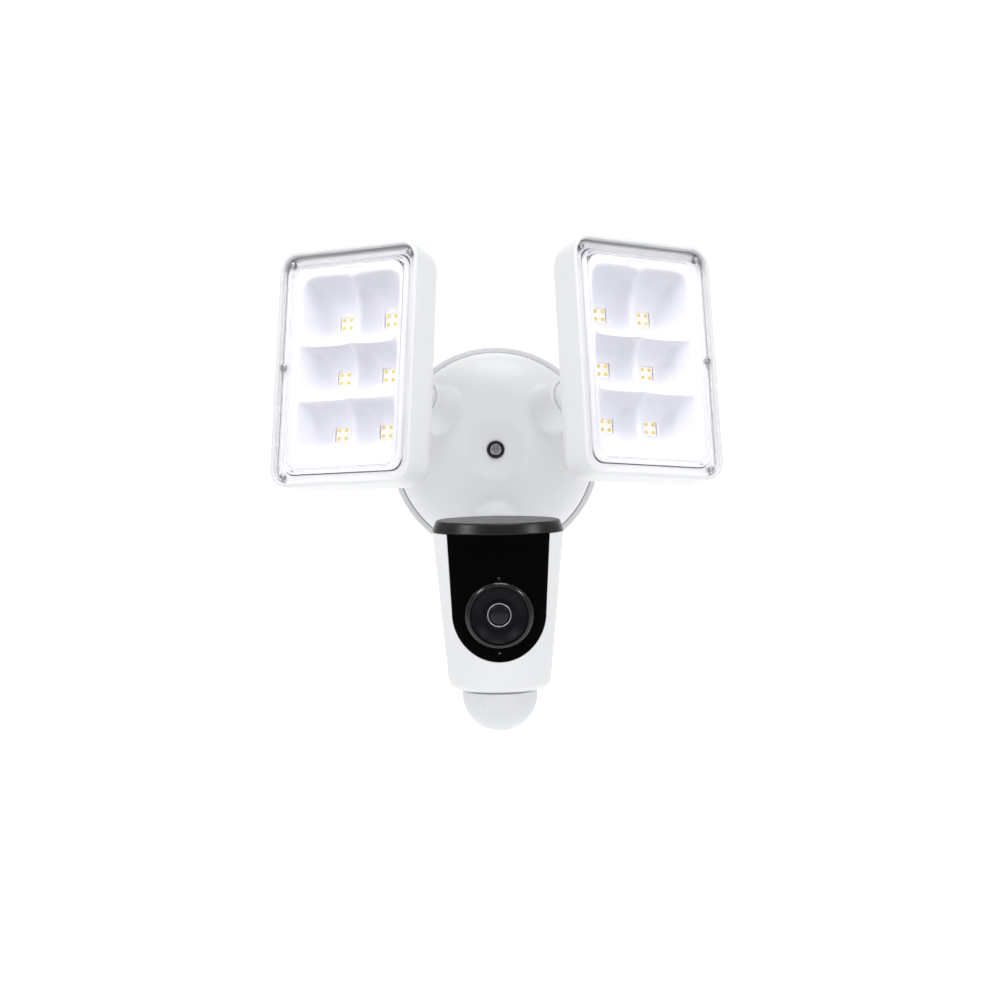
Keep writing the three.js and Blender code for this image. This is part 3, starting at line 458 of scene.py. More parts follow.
def moulded_group():
    """Moulded plastic: a fine grain, soft flow marks, and faint handling marks in the gloss."""
    tree, inside, outside = new_group(
        "Moulded surface",
        {
            "Colour": (0.8, 0.8, 0.8, 1), "Tint": 0.03, "Roughness": 0.4, "Spread": 0.08,
            "Grain scale": 2200.0, "Grain depth": 0.00002,
        },
    )
    vector = inside.outputs["Vector"]
    flow = noise(tree, vector, 26.0, 4.0)
    marks = noise(tree, vector, 190.0, 5.0, 0.7)
    grain = noise(tree, vector, inside.outputs["Grain scale"], 2.0)
    shade = maths(tree, "MULTIPLY", flow, inside.outputs["Tint"])
    darker = tree.nodes.new("ShaderNodeHueSaturation")
    tree.links.new(inside.outputs["Colour"], darker.inputs["Color"])
    tree.links.new(maths(tree, "SUBTRACT", 1.0, shade), darker.inputs["Value"])
    tree.links.new(darker.outputs["Color"], outside.inputs["Colour"])
    swing = maths(tree, "MULTIPLY", maths(tree, "SUBTRACT", marks, 0.5), inside.outputs["Spread"])
    roughness = maths(tree, "ADD", inside.outputs["Roughness"], swing)
    tree.links.new(roughness, outside.inputs["Roughness"])
    normal = bumped(tree, grain, inside.outputs["Grain depth"])
    tree.links.new(normal, outside.inputs["Normal"])
    return tree


def drawn_metal_group():
    """Plated or drawn metal: fine lines in the gloss, and dull spots."""
    tree, inside, outside = new_group(
        "Plated metal",
        {"Colour": (0.6, 0.6, 0.6, 1), "Dull": (0.4, 0.4, 0.4, 1), "Roughness": 0.3},
    )
    stretched = tree.nodes.new("ShaderNodeMapping")
    stretched.inputs["Scale"].default_value = (1.0, 1.0, 14.0)
    tree.links.new(inside.outputs["Vector"], stretched.inputs["Vector"])
    lines = noise(tree, stretched.outputs["Vector"], 420.0, 3.0)
    spots = noise(tree, inside.outputs["Vector"], 310.0, 4.0, 0.6)
    dull = maths(tree, "MULTIPLY", maths(tree, "SUBTRACT", spots, 0.42), 3.0)
    clamped = tree.nodes.new("ShaderNodeClamp")
    tree.links.new(dull, clamped.inputs["Value"])
    result = mixed(tree, clamped.outputs[0], inside.outputs["Colour"], inside.outputs["Dull"])
    tree.links.new(result, outside.inputs["Colour"])
    swing = maths(tree, "MULTIPLY", lines, 0.2)
    roughness = maths(tree, "ADD", inside.outputs["Roughness"], swing)
    tree.links.new(roughness, outside.inputs["Roughness"])
    tree.links.new(bumped(tree, lines, 0.00002, 0.4), outside.inputs["Normal"])
    return tree


def dimpled_group():
    """Frosted lens sheet: rows of shallow facets under a soft surface, with painted shade towards
    the edge of each facet.
    """
    tree, inside, outside = new_group(
        "Dimpled sheet",
        {"Colour": (0.8, 0.8, 0.8, 1), "Cell scale": 260.0, "Depth": 0.0002},
    )
    cells = tree.nodes.new("ShaderNodeTexVoronoi")
    cells.feature = "SMOOTH_F1"
    cells.inputs["Randomness"].default_value = 0.25
    tree.links.new(inside.outputs["Vector"], cells.inputs["Vector"])
    tree.links.new(inside.outputs["Cell scale"], cells.inputs["Scale"])
    cloud = noise(tree, inside.outputs["Vector"], 120.0, 4.0, 0.6)
    # Painted shade: the colour darkens towards the edge of each facet; the cloud adds random tone.
    shade = maths(tree, "MULTIPLY_ADD", cells.outputs["Distance"], -0.05, 1.02)
    shade = maths(tree, "MULTIPLY_ADD", cloud, -0.06, shade)
    darker = tree.nodes.new("ShaderNodeHueSaturation")
    tree.links.new(inside.outputs["Colour"], darker.inputs["Color"])
    tree.links.new(shade, darker.inputs["Value"])
    tree.links.new(darker.outputs["Color"], outside.inputs["Colour"])
    tree.links.new(maths(tree, "MULTIPLY_ADD", cloud, 0.15, 0.42), outside.inputs["Roughness"])
    normal = bumped(tree, cells.outputs["Distance"], inside.outputs["Depth"], 0.5)
    tree.links.new(normal, outside.inputs["Normal"])
    return tree


def effect(name, build):
    return bpy.data.node_groups.get(name) or build()


def surface(name, group, sockets, constants=()):
    """A material with one effect group in front of a Principled shader."""
    known = bpy.data.materials.get(name)
    if known:
        return known
    material = bpy.data.materials.new(name)
    material.use_nodes = True
    tree = material.node_tree
    shader = tree.nodes["Principled BSDF"]
    place = tree.nodes.new("ShaderNodeTexCoord")
    node = tree.nodes.new("ShaderNodeGroup")
    node.node_tree = group
    tree.links.new(place.outputs["Object"], node.inputs["Vector"])
    for socket, value in sockets.items():
        node.inputs[socket].default_value = (*value, 1.0) if not isinstance(value, float) else value
    tree.links.new(node.outputs["Colour"], shader.inputs["Base Color"])
    tree.links.new(node.outputs["Roughness"], shader.inputs["Roughness"])
    tree.links.new(node.outputs["Normal"], shader.inputs["Normal"])
    for socket, value in dict(constants).items():
        shader.inputs[socket].default_value = value
    return material


POLISHED = 0.000001  # grain depth of a polished mould, in metres


def moulded(name, rgb, roughness, constants=(), **sockets):
    group = effect("Moulded surface", moulded_group)
    values = {"Colour": tuple(rgb), "Roughness": roughness}
    values.update({key.replace("_", " ").capitalize(): value for key, value in sockets.items()})
    return surface(name, group, values, constants)


def plated(name, rgb, dull, roughness):
    group = effect("Plated metal", drawn_metal_group)
    values = {"Colour": rgb, "Dull": dull, "Roughness": roughness}
    return surface(name, group, values, {"Metallic": 1.0})


def finish(name):
    return tuple(getattr(bpy.context.scene.floodlight_finish, name))


def white_plastic():
    return moulded("White housing plastic", finish("white"), 0.36, {"Specular IOR Level": 0.4})


def plate_plastic():
    return moulded("Grey-white plate plastic", finish("plate"), 0.45)


def satin_white():
    return moulded(
        "Satin reflector", finish("reflector"), 0.34, {"Specular IOR Level": 0.45},
        spread=0.05, grain_depth=0.00001,
    )


def gloss_black():
    return moulded(
        "Gloss black", finish("gloss_black"), 0.07, {"Specular IOR Level": 0.02},
        spread=0.05, grain_depth=POLISHED,
    )


def cap_black():
    return moulded("Cap black", (0.006, 0.006, 0.007), 0.3, {"Specular IOR Level": 0.3}, spread=0.1)


def bezel_black():
    return moulded(
        "Polished bezel black", (0.003, 0.003, 0.004), 0.09, {"Specular IOR Level": 0.45},
        spread=0.04, grain_depth=POLISHED,
    )


def matt_black():
    return moulded("Matt black plastic", (0.003, 0.003, 0.005), 0.4, {"Specular IOR Level": 0.12})


def rubber():
    return moulded("Black rubber", (0.009, 0.009, 0.009), 0.62, grain_depth=0.00004, spread=0.15)


def silicone():
    return moulded("White silicone", (0.86, 0.86, 0.88), 0.5, spread=0.1)


def package_painted_glow():
    return moulded(
        "LED package", (0.92, 0.86, 0.85), 0.4,
        # The weak emission is a painted glow that brightens the packages where they sit in shade;
        # the LEDs are not lit.
        {"Emission Color": (1.0, 0.93, 0.90, 1.0), "Emission Strength": 0.2},
        grain_scale=3000.0,
    )


def white_mask():
    return moulded("White board mask", (0.78, 0.78, 0.8), 0.38, grain_scale=900.0)


def green_mask():
    return moulded("Green board mask", (0.02, 0.10, 0.055), 0.35, tint=0.5, grain_scale=500.0)


def steel():
    return plated("Zinc-plated steel", (0.62, 0.63, 0.65), (0.45, 0.45, 0.46), 0.28)


def dark_steel():
    return plated("Screw steel", (0.42, 0.43, 0.45), (0.22, 0.22, 0.23), 0.22)


def bright_metal():
    return plated("Bright lens ring", (0.62, 0.63, 0.66), (0.5, 0.5, 0.52), 0.2)


def frosted():
    group = effect("Dimpled sheet", dimpled_group)
    return surface(
        "Frosted dome", group, {"Colour": finish("dome")},
        {"Subsurface Weight": 0.35, "Subsurface Scale": 0.004, "Specular IOR Level": 0.35},
    )


def phosphor():
    return moulded(
        "LED phosphor", finish("phosphor"), 0.5,
        # The weak emission is a painted glow on the phosphor, which sits in shade; the LEDs are not
        # lit.
        {"Emission Color": (1.0, 0.85, 0.25, 1.0), "Emission Strength": 0.12},
        tint=0.25, grain_scale=4000.0,
    )


def clear_window():
    """Clear polycarbonate that lets the lamps' light through to what is behind it."""
    name = "Clear window"
    known = bpy.data.materials.get(name)
    if known:
        return known
    material = moulded(
        name, (0.99, 0.99, 0.995), 0.03,
        {"Transmission Weight": 1.0, "IOR": 1.45, "Specular IOR Level": 0.5},
        spread=0.02, grain_depth=POLISHED,
    )
    tree = material.node_tree
    path = tree.nodes.new("ShaderNodeLightPath")
    through = tree.nodes.new("ShaderNodeBsdfTransparent")
    through.inputs["Color"].default_value = (0.98, 0.98, 0.985, 1)
    mix = tree.nodes.new("ShaderNodeMixShader")
    tree.links.new(path.outputs["Is Shadow Ray"], mix.inputs[0])
    tree.links.new(tree.nodes["Principled BSDF"].outputs[0], mix.inputs[1])
    tree.links.new(through.outputs[0], mix.inputs[2])
    tree.links.new(mix.outputs[0], tree.nodes["Material Output"].inputs["Surface"])
    return material


def dark_glass():
    return moulded(
        "Coated lens glass", (0.003, 0.003, 0.006), 0.03, {"Specular IOR Level": 0.3},
        spread=0.02, grain_depth=POLISHED,
    )


# ----------------------------------------------------------------------------------- the base


def cover_profile(inset=0.0, foot=0.0):
    """Half section of the domed cover with its dish, as (radius, distance from the wall)."""
    radius = setting("base", "cover_radius") - inset
    shoulder, crown = 9.0, setting("base", "crown") - inset
    dish, depth = setting("base", "dish_radius"), setting("base", "dish_depth")
    fullness, lip = 2.5, 1.6
    ball = (dish**2 + depth**2) / (2 * depth)

    def skin(r):
        share = max(0.0, 1 - (r / radius) ** fullness) ** (1 / fullness)
        return shoulder + (crown - shoulder) * share

    def bowl(r):
        return skin(0) - depth + ball - sqrt(ball**2 - r**2)

    profile = [(0, foot), (radius, foot), (radius, shoulder)]
    steps = 26
    for i in range(1, steps + 1):
        r = radius * cos(0.5 * pi * i / steps)
        if r > dish + lip:
            profile.append((r, skin(r)))
    profile.append((dish + lip, skin(dish + lip)))
    top, edge = skin(dish), bowl(dish - lip)
    profile += [
        (dish + 0.45 * lip, top - 0.05), (dish, 0.5 * (top + edge) + 0.18),
        (dish - 0.5 * lip, edge + 0.2),
    ]
    inner = [(dish - lip) * (1 - i / 8) for i in range(9)]
    profile += [(r, bowl(r)) for r in inner]
    return profile


def boss_outside():
    """A slightly conical boss, longer than needed at both ends."""
    sides = [(15.2, -30), (14.2, -20), (13.4, -11), (12.8, -5), (12.6, 3)]
    return lathe([(0, -30), *sides, (0, 3)], FRONT, 48)


def boss_trim():
    """What is taken off a boss so that its mouth is crisp, with a small rounded rim."""
    rim, radius, lead = -1.0, 12.55, 0.9
    edge = arc((radius - lead, rim - lead), lead, 90, 0, 4)
    return lathe([(0, rim), *edge, (17, rim - lead), (17, rim + 8), (0, rim + 8)], FRONT, 64)


def boss_inside():
    """The bore for the joint's cup, and the hole for its wires."""
    return [rod(10.6, -13.5, 6, FRONT, 64), rod(4.5, -20, -13, FRONT, 24)]


def smoothed_near(bm, zones, passes):
    """Relaxes the points inside the zones, so that bosses run softly into the cover."""
    for i in range(passes):
        share = 1 - i / passes
        points = [v for v in bm.verts if zones(v.co, share)]
        bmesh.ops.smooth_vert(
            bm, verts=points, factor=0.5, use_axis_x=True, use_axis_y=True, use_axis_z=True
        )


def boss_zone(arms, blend):
    """A test for points near the foot of a boss; the zone shrinks as share goes to 0."""
    inverse = [arm.inverted() for arm in arms]

    def near(point, share):
        for matrix in inverse:
            local = matrix @ point
            along, away = -local.y, sqrt(local.x**2 + local.z**2)
            if along < -8 + 2 * share and 9 < away < 16 + (4 + 1.6 * blend) * share:
                return True
        return False

    return near


def cover_shell():
    """The hollow cover: dome and bosses in one skin, then hollowed and bored."""
    arms = list(ARMS.values())
    dome = lathe(cover_profile(foot=-6), FRONT, 128)
    bosses = [turned_by(boss_outside(), arm) for arm in arms]
    rough = gathered(dome, *bosses)
    fused = with_modifiers(rough, ("REMESH", {"mode": "VOXEL", "voxel_size": 0.9}))
    behind = moved(box(200, 100, 200), y=50 - 7.1)
    fused = cut(fused, behind)
    smoothed_near(fused, boss_zone(arms, setting("base", "blend")), 14)
    wall = 2.4
    tools = [lathe(cover_profile(inset=wall, foot=-6), FRONT, 96)]
    for arm in arms:
        tools.append(turned_by(boss_trim(), arm))
        tools += [turned_by(part, arm) for part in boss_inside()]
    floor = setting("base", "crown") - setting("base", "dish_depth")
    tools.append(rod(5.3, floor - 1.8, 40, FRONT, 48))
    tools.append(rod(3, 0, 40, FRONT, 32))
    return cut(fused, *tools)


class FLOODLIGHT_OT_cover(bpy.types.Operator):
    """Builds the domed front cover with its dish and its three blended bosses"""

    bl_idname = "floodlight.cover"
    bl_label = "Front cover"

    def execute(self, context):
        add_piece("front_cover_shell", cover_shell(), BASE, "front_cover", white_plastic(),
                  38)
        return {"FINISHED"}


class FLOODLIGHT_OT_plate(bpy.types.Operator):
    """Builds the rear plate with its rounded flange and its screw holes"""

    bl_idname = "floodlight.plate"
    bl_label = "Rear plate"

    def execute(self, context):
        radius, back, front, floor = setting("base", "plate_radius"), 2.8, 6.8, 9.0
        edge = 1.5
        profile = [(0, front), (50, front), (50, back), (radius - 0.6, back), (radius, back + 0.6)]
        profile += arc((radius - edge, front - edge), edge, 0, 90, 6)
        groove = setting("base", "cover_radius") + 0.6  # shows as a dark line round the cover
        profile += [(groove, front), (groove, front - 1.6), (58.6, front - 1.6), (58.6, front)]
        profile += [(56.6, front), (56.6, floor - 0.4), (56.2, floor), (0, floor)]
        plate = lathe(profile, FRONT, 160)
        tools = [rod(3, 0, 20), moved(rod(8, 0, 20), z=27)]
        tools += [moved(rod(1.7, 0, 20), side * 39, 0, -9) for side in SIDES.values()]
        made = cut(plate, *tools)
        add_piece("rear_plate_disc", made, BASE, "rear_plate", plate_plastic(), 40)
        return {"FINISHED"}


def cross_recess(reach, width, depth, top):
    """The two slots of a cross recess at the top of a screw head."""
    return [box(width, 2 * depth, reach, 0, -top), box(reach, 2 * depth, width, 0, -top)]


class FLOODLIGHT_OT_centre_screw(bpy.types.Operator):
    """Builds the centre screw with its cross recess, and the rubber seal round it"""

    bl_idname = "floodlight.centre_screw"
    bl_label = "Centre screw and seal"

    def execute(self, context):
        floor = setting("base", "crown") - setting("base", "dish_depth")
        foot, top = floor - 0.4, floor + 1.3
        head = [(0, foot), (3.5, foot), (3.6, foot + 0.15), (3.6, top - 0.75)]
        head += arc((2.9, top - 0.7), 0.7, 0, 80, 5) + [(0, top + 0.08)]
        shank = rod(2.4, -4, floor, FRONT, 24)
        screw = cut(joined(lathe(head, FRONT, 48), shank), *cross_recess(4.2, 1.0, 2.2, top))
        add_piece("centre_screw_head", screw, BASE, "centre_screw", dark_steel(), 30)
        foot, web, top = floor - 1.5, floor - 0.7, floor + 1.6
        lip = arc((4.55, top - 0.5), 0.5, 0, 180, 8)
        section = [(2.7, foot), (4.9, foot), (5.05, foot + 0.15), *lip, (4.0, web), (2.7, web)]
        seal = lathe(section, FRONT, 64)
        add_piece("centre_seal_ring", seal, BASE, "centre_screw_seal", rubber(), 40)
        return {"FINISHED"}


# -------------------------------------------------------------------------------- ball joints


def on_ball(radius, along):
    """Radius of a ball's section at a distance along its axis."""
    return sqrt(radius**2 - along**2)


def lock_ring():
    """Threaded ring over the ball, with a rounded lip and four grip notches."""
    ball, outer, lip, foot = 9.0, 10.3, 4.0, -4.1
    inside = [(on_ball(ball, lip * t), lip * t) for t in (1, 0.75, 0.5, 0.25, 0)]
    nose = arc((outer - 1.7, lip - 1.7), 1.7, 0, 62, 6)
    outside = [(ball, foot), (outer - 0.3, foot), (outer, foot + 0.3), *nose, (8.6, lip)]
    body = lathe([*outside, *inside[1:]], FRONT, 96)
    notches = [
        turned_by(box(1.8, 2.6, 1.5, outer + 0.1, -lip, 0), Matrix.Rotation(radians(a), 4, "Y"))
        for a in (45, 135, 225, 315)
    ]
    return cut(body, *notches)


def ball_stem(reach, thread):
    """Ball, neck and hollow stem in one piece; reach ends at the head's bearing face."""
    ball, neck, stem, bolt, wire = 8.4, 4.2, 6.2, 3.9, 2.2
    low, high = asin(-sqrt(ball**2 - wire**2) / ball), asin(sqrt(ball**2 - neck**2) / ball)
    steps = 20
    angles = [low + (high - low) * i / steps for i in range(steps + 1)]
    skin = [(ball * cos(angle), ball * sin(angle)) for angle in angles]
    waist = [(4.25, 9.6), (4.6, 11.6), (5.2, 13.4), (5.9, 14.8), (stem, 16)]
    collar = [(stem, reach - 3.6), (6.6, reach - 3.0), (7.9, reach - 2.6), (8.2, reach - 2.2),
              (8.2, reach - 0.3), (7.9, reach)]
    end = reach + thread
    tail = [(bolt, reach), (bolt, end - 0.5), (bolt - 0.5, end), (wire, end)]
    return lathe(skin + waist + collar + tail, FRONT, 64)


class FLOODLIGHT_OT_joints(bpy.types.Operator):
    """Builds the lock ring and the ball stem of each arm"""

    bl_idname = "floodlight.joints"
    bl_label = "Ball joints"

    def execute(self, context):
        reaches = {"left": (31.5, 9), "right": (31.5, 9), "camera": (42.2, 16.3)}
        for arm, (reach, thread) in reaches.items():
            node = "camera" if arm == "camera" else arm + "_lamp"
            add_piece(node + "_lock_ring_body", lock_ring(), ARMS[arm], node + "_lock_ring",
                      white_plastic(), 34)
            add_piece(node + "_stem_body", ball_stem(reach, thread), STEMS[arm],
                      node + "_ball_stem", white_plastic(), 34)
        return {"FINISHED"}


# ----------------------------------------------------------------------------- floodlight heads


def screw_places(side):
    """Where the screws of a head's window are."""
    corner_x, corner_z, side_x, side_z = 37.2, 59.7, 39.65, 2.0
    return {
        "top_outer": (side * corner_x, corner_z),
        "top_inner": (-side * corner_x, corner_z),
        "side": (side * side_x, side_z),
        "bottom_outer": (side * corner_x, -corner_z),
    }


def housing():
    """White housing: straight side walls, a rounded back, a neck and a thin lipped rim."""
    width, height = setting("lamp", "width"), setting("lamp", "height")
    corner, rim, depth = setting("lamp", "corner"), setting("lamp", "rim"), setting("lamp", "depth")
    wall, back_round, floor, lead, neck_z = 17.7, 13.0, depth - 2.6, 0.8, -2.1

    def level(behind, inset):
        return (behind, width - 2 * inset, height - 2 * inset)

    def rounded_back(inset, start, end):
        found = []
        for i in range(1, 9):
            angle = radians(90 * i / 8)
            draw = (back_round - inset) * (1 - cos(angle))
            found.append(level(start + (end - start) * sin(angle), inset + draw))
        return found

    front = [
        level(lead * (1 - sin(radians(a))), lead * (1 - cos(radians(a)))) for a in (90, 60, 30, 0)
    ]
    outer = panel_stack([*front, level(wall, 0), *rounded_back(0, wall, depth)], corner)
    mouth = [level(-1, rim - 1.6), level(0.5, rim)]
    inner = panel_stack([*mouth, level(wall, rim), *rounded_back(rim, wall, floor)], corner - rim)
    neck_profile = [(0, depth - 6), (22, depth - 4), (18.6, depth - 1), (15.8, depth + 2),
                    (13.8, depth + 5.5), (12.6, depth + 9), (12.1, depth + 13), (12, 54),
                    (11.4, 54.8), (10.8, 55), (0, 55)]
    neck_bore = [(0, 28), (12, 30), (9, depth + 6), (9, 52.4), (0, 52.4)]
    neck = moved(lathe(neck_profile, BACK, 64), z=neck_z)
    neck_inside = moved(lathe(neck_bore, BACK, 48), z=neck_z)
    stem_hole = moved(rod(4.2, 50, 56, BACK), z=neck_z)
    return cut(joined(outer, neck), inner, neck_inside, stem_hole)


def lens_window():
    """Clear cover: a screwed flange, and a raised window with sloping sides."""
    width, height, flange_front, flange_back = 82.7, 127.6, 3.2, 5.0
    bm = panel_stack([(flange_back, width, height), (flange_front, width, height)], 8.5)

    def drawn_out(start, sign, levels):
        """Pulls the flange's face at a depth through (depth, width, height) levels."""
        cap = next(
            f for f in bm.faces
            if f.normal.y * sign > 0.9 and abs(f.calc_center_median().y - start) < 0.1
        )
        for y, w, h in levels:
            wide = max(abs(v.co.x) for v in cap.verts) * 2
            high = max(abs(v.co.z) for v in cap.verts) * 2
            step = y - cap.calc_center_median().y
            cap = extrude_cap(bm, cap, (0, step, 0), (w / wide, 1, h / high))

    drawn_out(flange_front, -1, (
        (flange_front, 75.4, 117.8), (1.2, 73.2, 115.5), (0.75, 72.6, 115.0), (0.6, 71.9, 114.3),
        (0.6, 70.9, 113.3),
    ))
    drawn_out(flange_back, 1, (
        (flange_back, 71.8, 114.2), (2.4, 69.2, 111.6), (2.4, 68.2, 110.6),
    ))
    bmesh.ops.recalc_face_normals(bm, faces=bm.faces)
    return bm


LED_X, LED_ROWS = 14.25, (29.0, -2.3, -33.6)
LED_INWARDS = 0.9  # the clusters sit a little towards the base from the middle of the window


def led_centres(side):
    """The middles of the six LED clusters."""
    middle = -side * LED_INWARDS
    return [(middle + x, z) for z in LED_ROWS for x in (-LED_X, LED_X)]


def bowl_reaches(x, z, middle):
    """How far a bowl reaches from its LED: left, right, down and up."""
    edge, low, high, ridge, row_ridge = 31.9, -52.5, 51.7, 18.0, 18.4
    left = x + edge if x < middle else ridge
    right = edge - x if x > middle else ridge
    down = z - low if z == LED_ROWS[-1] else row_ridge
    up = high - z if z == LED_ROWS[0] else row_ridge
    return left, right, down, up


def bowl_depth(x, z, centres):
    """Depth of the reflector below its deck: the deepest of six bowls, with soft crests."""
    full, flat = 21.6, setting("lamp", "bowl_depth")
    lip, crest = 0.5, 1.4
    middle = sum(cx for cx, _ in centres) / len(centres)
    deepest = 0.0
    for cx, cz in centres:
        left, right, down, up = bowl_reaches(cx, cz, middle)
        u = abs(x - cx) / (right if x > cx else left)
        v = abs(z - cz) / (up if z > cz else down)
        if max(u, v) > 1.15:
            continue
        square = (u**5 + v**5) ** 0.2
        drop = full * (1 - 0.45 * min(1.0, u * u + v * v)) * (1 - square**4)
        drop = min(flat, 0.5 * (drop + sqrt(drop * drop + lip * lip)))
        near = max(0.0, crest - abs(deepest - drop)) / crest
        deepest = max(deepest, drop) + near * near * crest / 4
    return min(flat, deepest - 0.3)


def reflector_sheet(side):
    """Satin reflector with six bowls that run into each other, open over each LED cluster."""
    width, height, corner, deck = 73.3, 117.8, 6.5, 5.45
    centres = led_centres(side)
    bm = bmesh.new()
    bmesh.ops.create_grid(bm, x_segments=116, y_segments=186, size=0.5)
    bmesh.ops.scale(bm, vec=(width, height, 1), verts=bm.verts)
    holes = [
        f for f in bm.faces
        if any(
            abs(f.calc_center_median().x - x) < 4.1 and abs(f.calc_center_median().y - z) < 4.1
            for x, z in centres
        )
    ]
    bmesh.ops.delete(bm, geom=holes, context="FACES")
    for v in bm.verts:
        x, z = v.co.x, v.co.y
        over_x, over_z = abs(x) - (width / 2 - corner), abs(z) - (height / 2 - corner)
        if over_x > 0 and over_z > 0:
            pull = max(over_x, over_z) / sqrt(over_x**2 + over_z**2)
            x += (over_x * pull - over_x) * (1 if x > 0 else -1)
            z += (over_z * pull - over_z) * (1 if z > 0 else -1)
        v.co = (x, z, -deck - max(0.0, bowl_depth(x, z, centres)))
    turned_by(bm, FRONT)
    bmesh.ops.recalc_face_normals(bm, faces=bm.faces)
    if sum(f.normal.y for f in bm.faces) > 0:
        bmesh.ops.reverse_faces(bm, faces=bm.faces)
    bmesh.ops.solidify(bm, geom=bm.faces[:], thickness=-0.9)
    return bm


def led_board():
    """The aluminium board behind the reflector."""
    board = panel_stack([(27.0, 66, 100), (28.8, 66, 100)], 4, 6)
    return moved(soften(board, 0.2), z=-1.5)


def led_spots(side):
    """The places of the four LED packages of each cluster."""
    half = setting("lamp", "package_pitch") / 2
    corners = [(x, z) for x in (-half, half) for z in (-half, half)]
    return [(cx + x, cz + z) for cx, cz in led_centres(side) for x, z in corners]


def led_packages(side):
    """White LED packages on a raised pad, each with a cup for its phosphor."""
    size = setting("lamp", "package")
    parts = [box(8.8, 0.6, 8.8, x, 26.7, z) for x, z in led_centres(side)]
    for x, z in led_spots(side):
        part = soften(box(size, 0.6, size, x, 26.05, z), 0.15, 2)
        face = next(f for f in part.faces if f.normal.y < -0.99)
        bmesh.ops.inset_region(
            part, faces=[face], thickness=0.35, depth=-0.12, use_even_offset=True
        )
        parts.append(part)
    return gathered(*parts)


def led_phosphors(side):
    """A low yellow dome in each LED package."""
    crown = [(0, -26.1), (1.15, -26.1), (1.15, -25.8), (0.9, -25.65), (0.4, -25.56), (0, -25.54)]
    return gathered(*[moved(lathe(crown, FRONT, 20), x, 0, z) for x, z in led_spots(side)])


def lamp_screw(x, z):
    """Pan-head screw with a cross recess, seated on the window's flange."""
    radius, foot, top = 1.7, -3.05, -1.95
    dome = [(radius, foot), (radius, foot + 0.35), (1.45, foot + 0.8), (0.9, top - 0.05)]
    head = lathe([(0, foot), *dome, (0, top)], FRONT, SMALL)
    head = cut(head, *cross_recess(2.0, 0.42, 0.6, top))
    shank = rod(1.1, -14, foot + 0.2, FRONT, 16)
    return moved(joined(head, shank), x, 0, z)


class FLOODLIGHT_OT_heads(bpy.types.Operator):
    """Builds the housing, window, reflector, LEDs and screws of both floodlight heads"""

    bl_idname = "floodlight.heads"
    bl_label = "Floodlight heads"

    def execute(self, context):
        for name, side in SIDES.items():
            lamp, place = name + "_lamp", HEADS[name]
            for part, bm, node, look, slot, smooth in (
                ("_shell", housing(), "_housing", white_plastic(), "white_plastic", 34),
                ("_window", lens_window(), "_lens", clear_window(), "clear_plastic", 30),
                ("_bowls", reflector_sheet(side), "_reflector", satin_white(),
                 "reflector_white", 50),
                ("_board", led_board(), "_led_board", white_mask(), "board_aluminium", 32),
                # The LED packages and phosphors carry a painted glow against the shade in their
                # holes.
                ("_led_packages", led_packages(side), "_led_board", package_painted_glow(),
                 "board_aluminium", 40),
                ("_led_phosphors", led_phosphors(side), "_led_board", phosphor(),
                 "board_aluminium", 40),
            ):
                add_piece(lamp + part, bm, place, lamp + node, look, smooth)
            for spot, (x, z) in screw_places(side).items():
                add_piece(f"{lamp}_{spot}_screw", lamp_screw(x, z), place, f"{lamp}_screw_{spot}",
                          steel())
        return {"FINISHED"}


# --------------------------------------------------------------------------- camera module

BODY_TOP, BODY_FOOT, BODY_CENTRE, SEAM = 13.6, -72.3, 67.0, 62.0
LENS_Z, FACE = -29.3, 90.8
PINHOLES = (19.8, -20.6)  # above and below the lens axis
KEY_Z = -60  # height of the reset key


def body_levels(offset, low, high, foot_round):
    """Levels of the tapered oval body, grown by offset, from its rounded foot to its top."""
    tops = setting("camera", "top_width"), setting("camera", "top_depth")
    bottoms = setting("camera", "bottom_width"), setting("camera", "bottom_depth")

    def level(z, draw=0.0):
        t = (BODY_TOP - z) / (BODY_TOP - BODY_FOOT)
        width, depth = (a + (b - a) * t + 2 * (offset - draw) for a, b in zip(tops, bottoms))
        return (z, width, depth)

    steps = 7
    foot = []
    for i in range(steps + 1):
        angle = radians(90 * i / steps)
        foot.append(level(low + foot_round * (1 - cos(angle)), foot_round * (1 - sin(angle))))
    middle = [level(low + foot_round + (high - low - foot_round) * i / 8) for i in range(1, 9)]
    return foot + middle


def body_solid(offset, low, high):
    foot_round = max(1.5, setting("camera", "foot_round") + offset)
    bm = stack(body_levels(offset, low, high, foot_round), steps=128)
    return moved(bm, y=-BODY_CENTRE)


def body_shell():
    """The hollow white body."""
    wall = 3.2
    outer = body_solid(0, BODY_FOOT, BODY_TOP)
    return cut(outer, body_solid(-wall, BODY_FOOT + wall, BODY_TOP - wall))


def panel_prism(offset):
    """A prism of the front panel's outline: straight tapered sides and a half-round foot."""
    top, bottom = 27.6 + offset, 25.2 + offset
    bm = bmesh.new()
    start = bm.verts.new((bottom, LENS_Z, 0))
    spun = bmesh.ops.spin(
        bm, geom=[start], cent=(0, LENS_Z, 0), axis=(0, 0, -1), angle=pi, steps=48
    )
    end = next(g for g in spun["geom_last"] if isinstance(g, bmesh.types.BMVert))
    corners = [bm.verts.new((-top, BODY_TOP + 4, 0)), bm.verts.new((top, BODY_TOP + 4, 0))]
    chain = [end, *corners, start]
    for pair in zip(chain, chain[1:]):
        bm.edges.new(pair)
    bmesh.ops.contextual_create(bm, geom=bm.edges[:])
    extrude_cap(bm, next(iter(bm.faces)), (0, 0, 50))
    bmesh.ops.recalc_face_normals(bm, faces=bm.faces)
    turned_by(bm, FRONT)
    return moved(bm, y=-70)


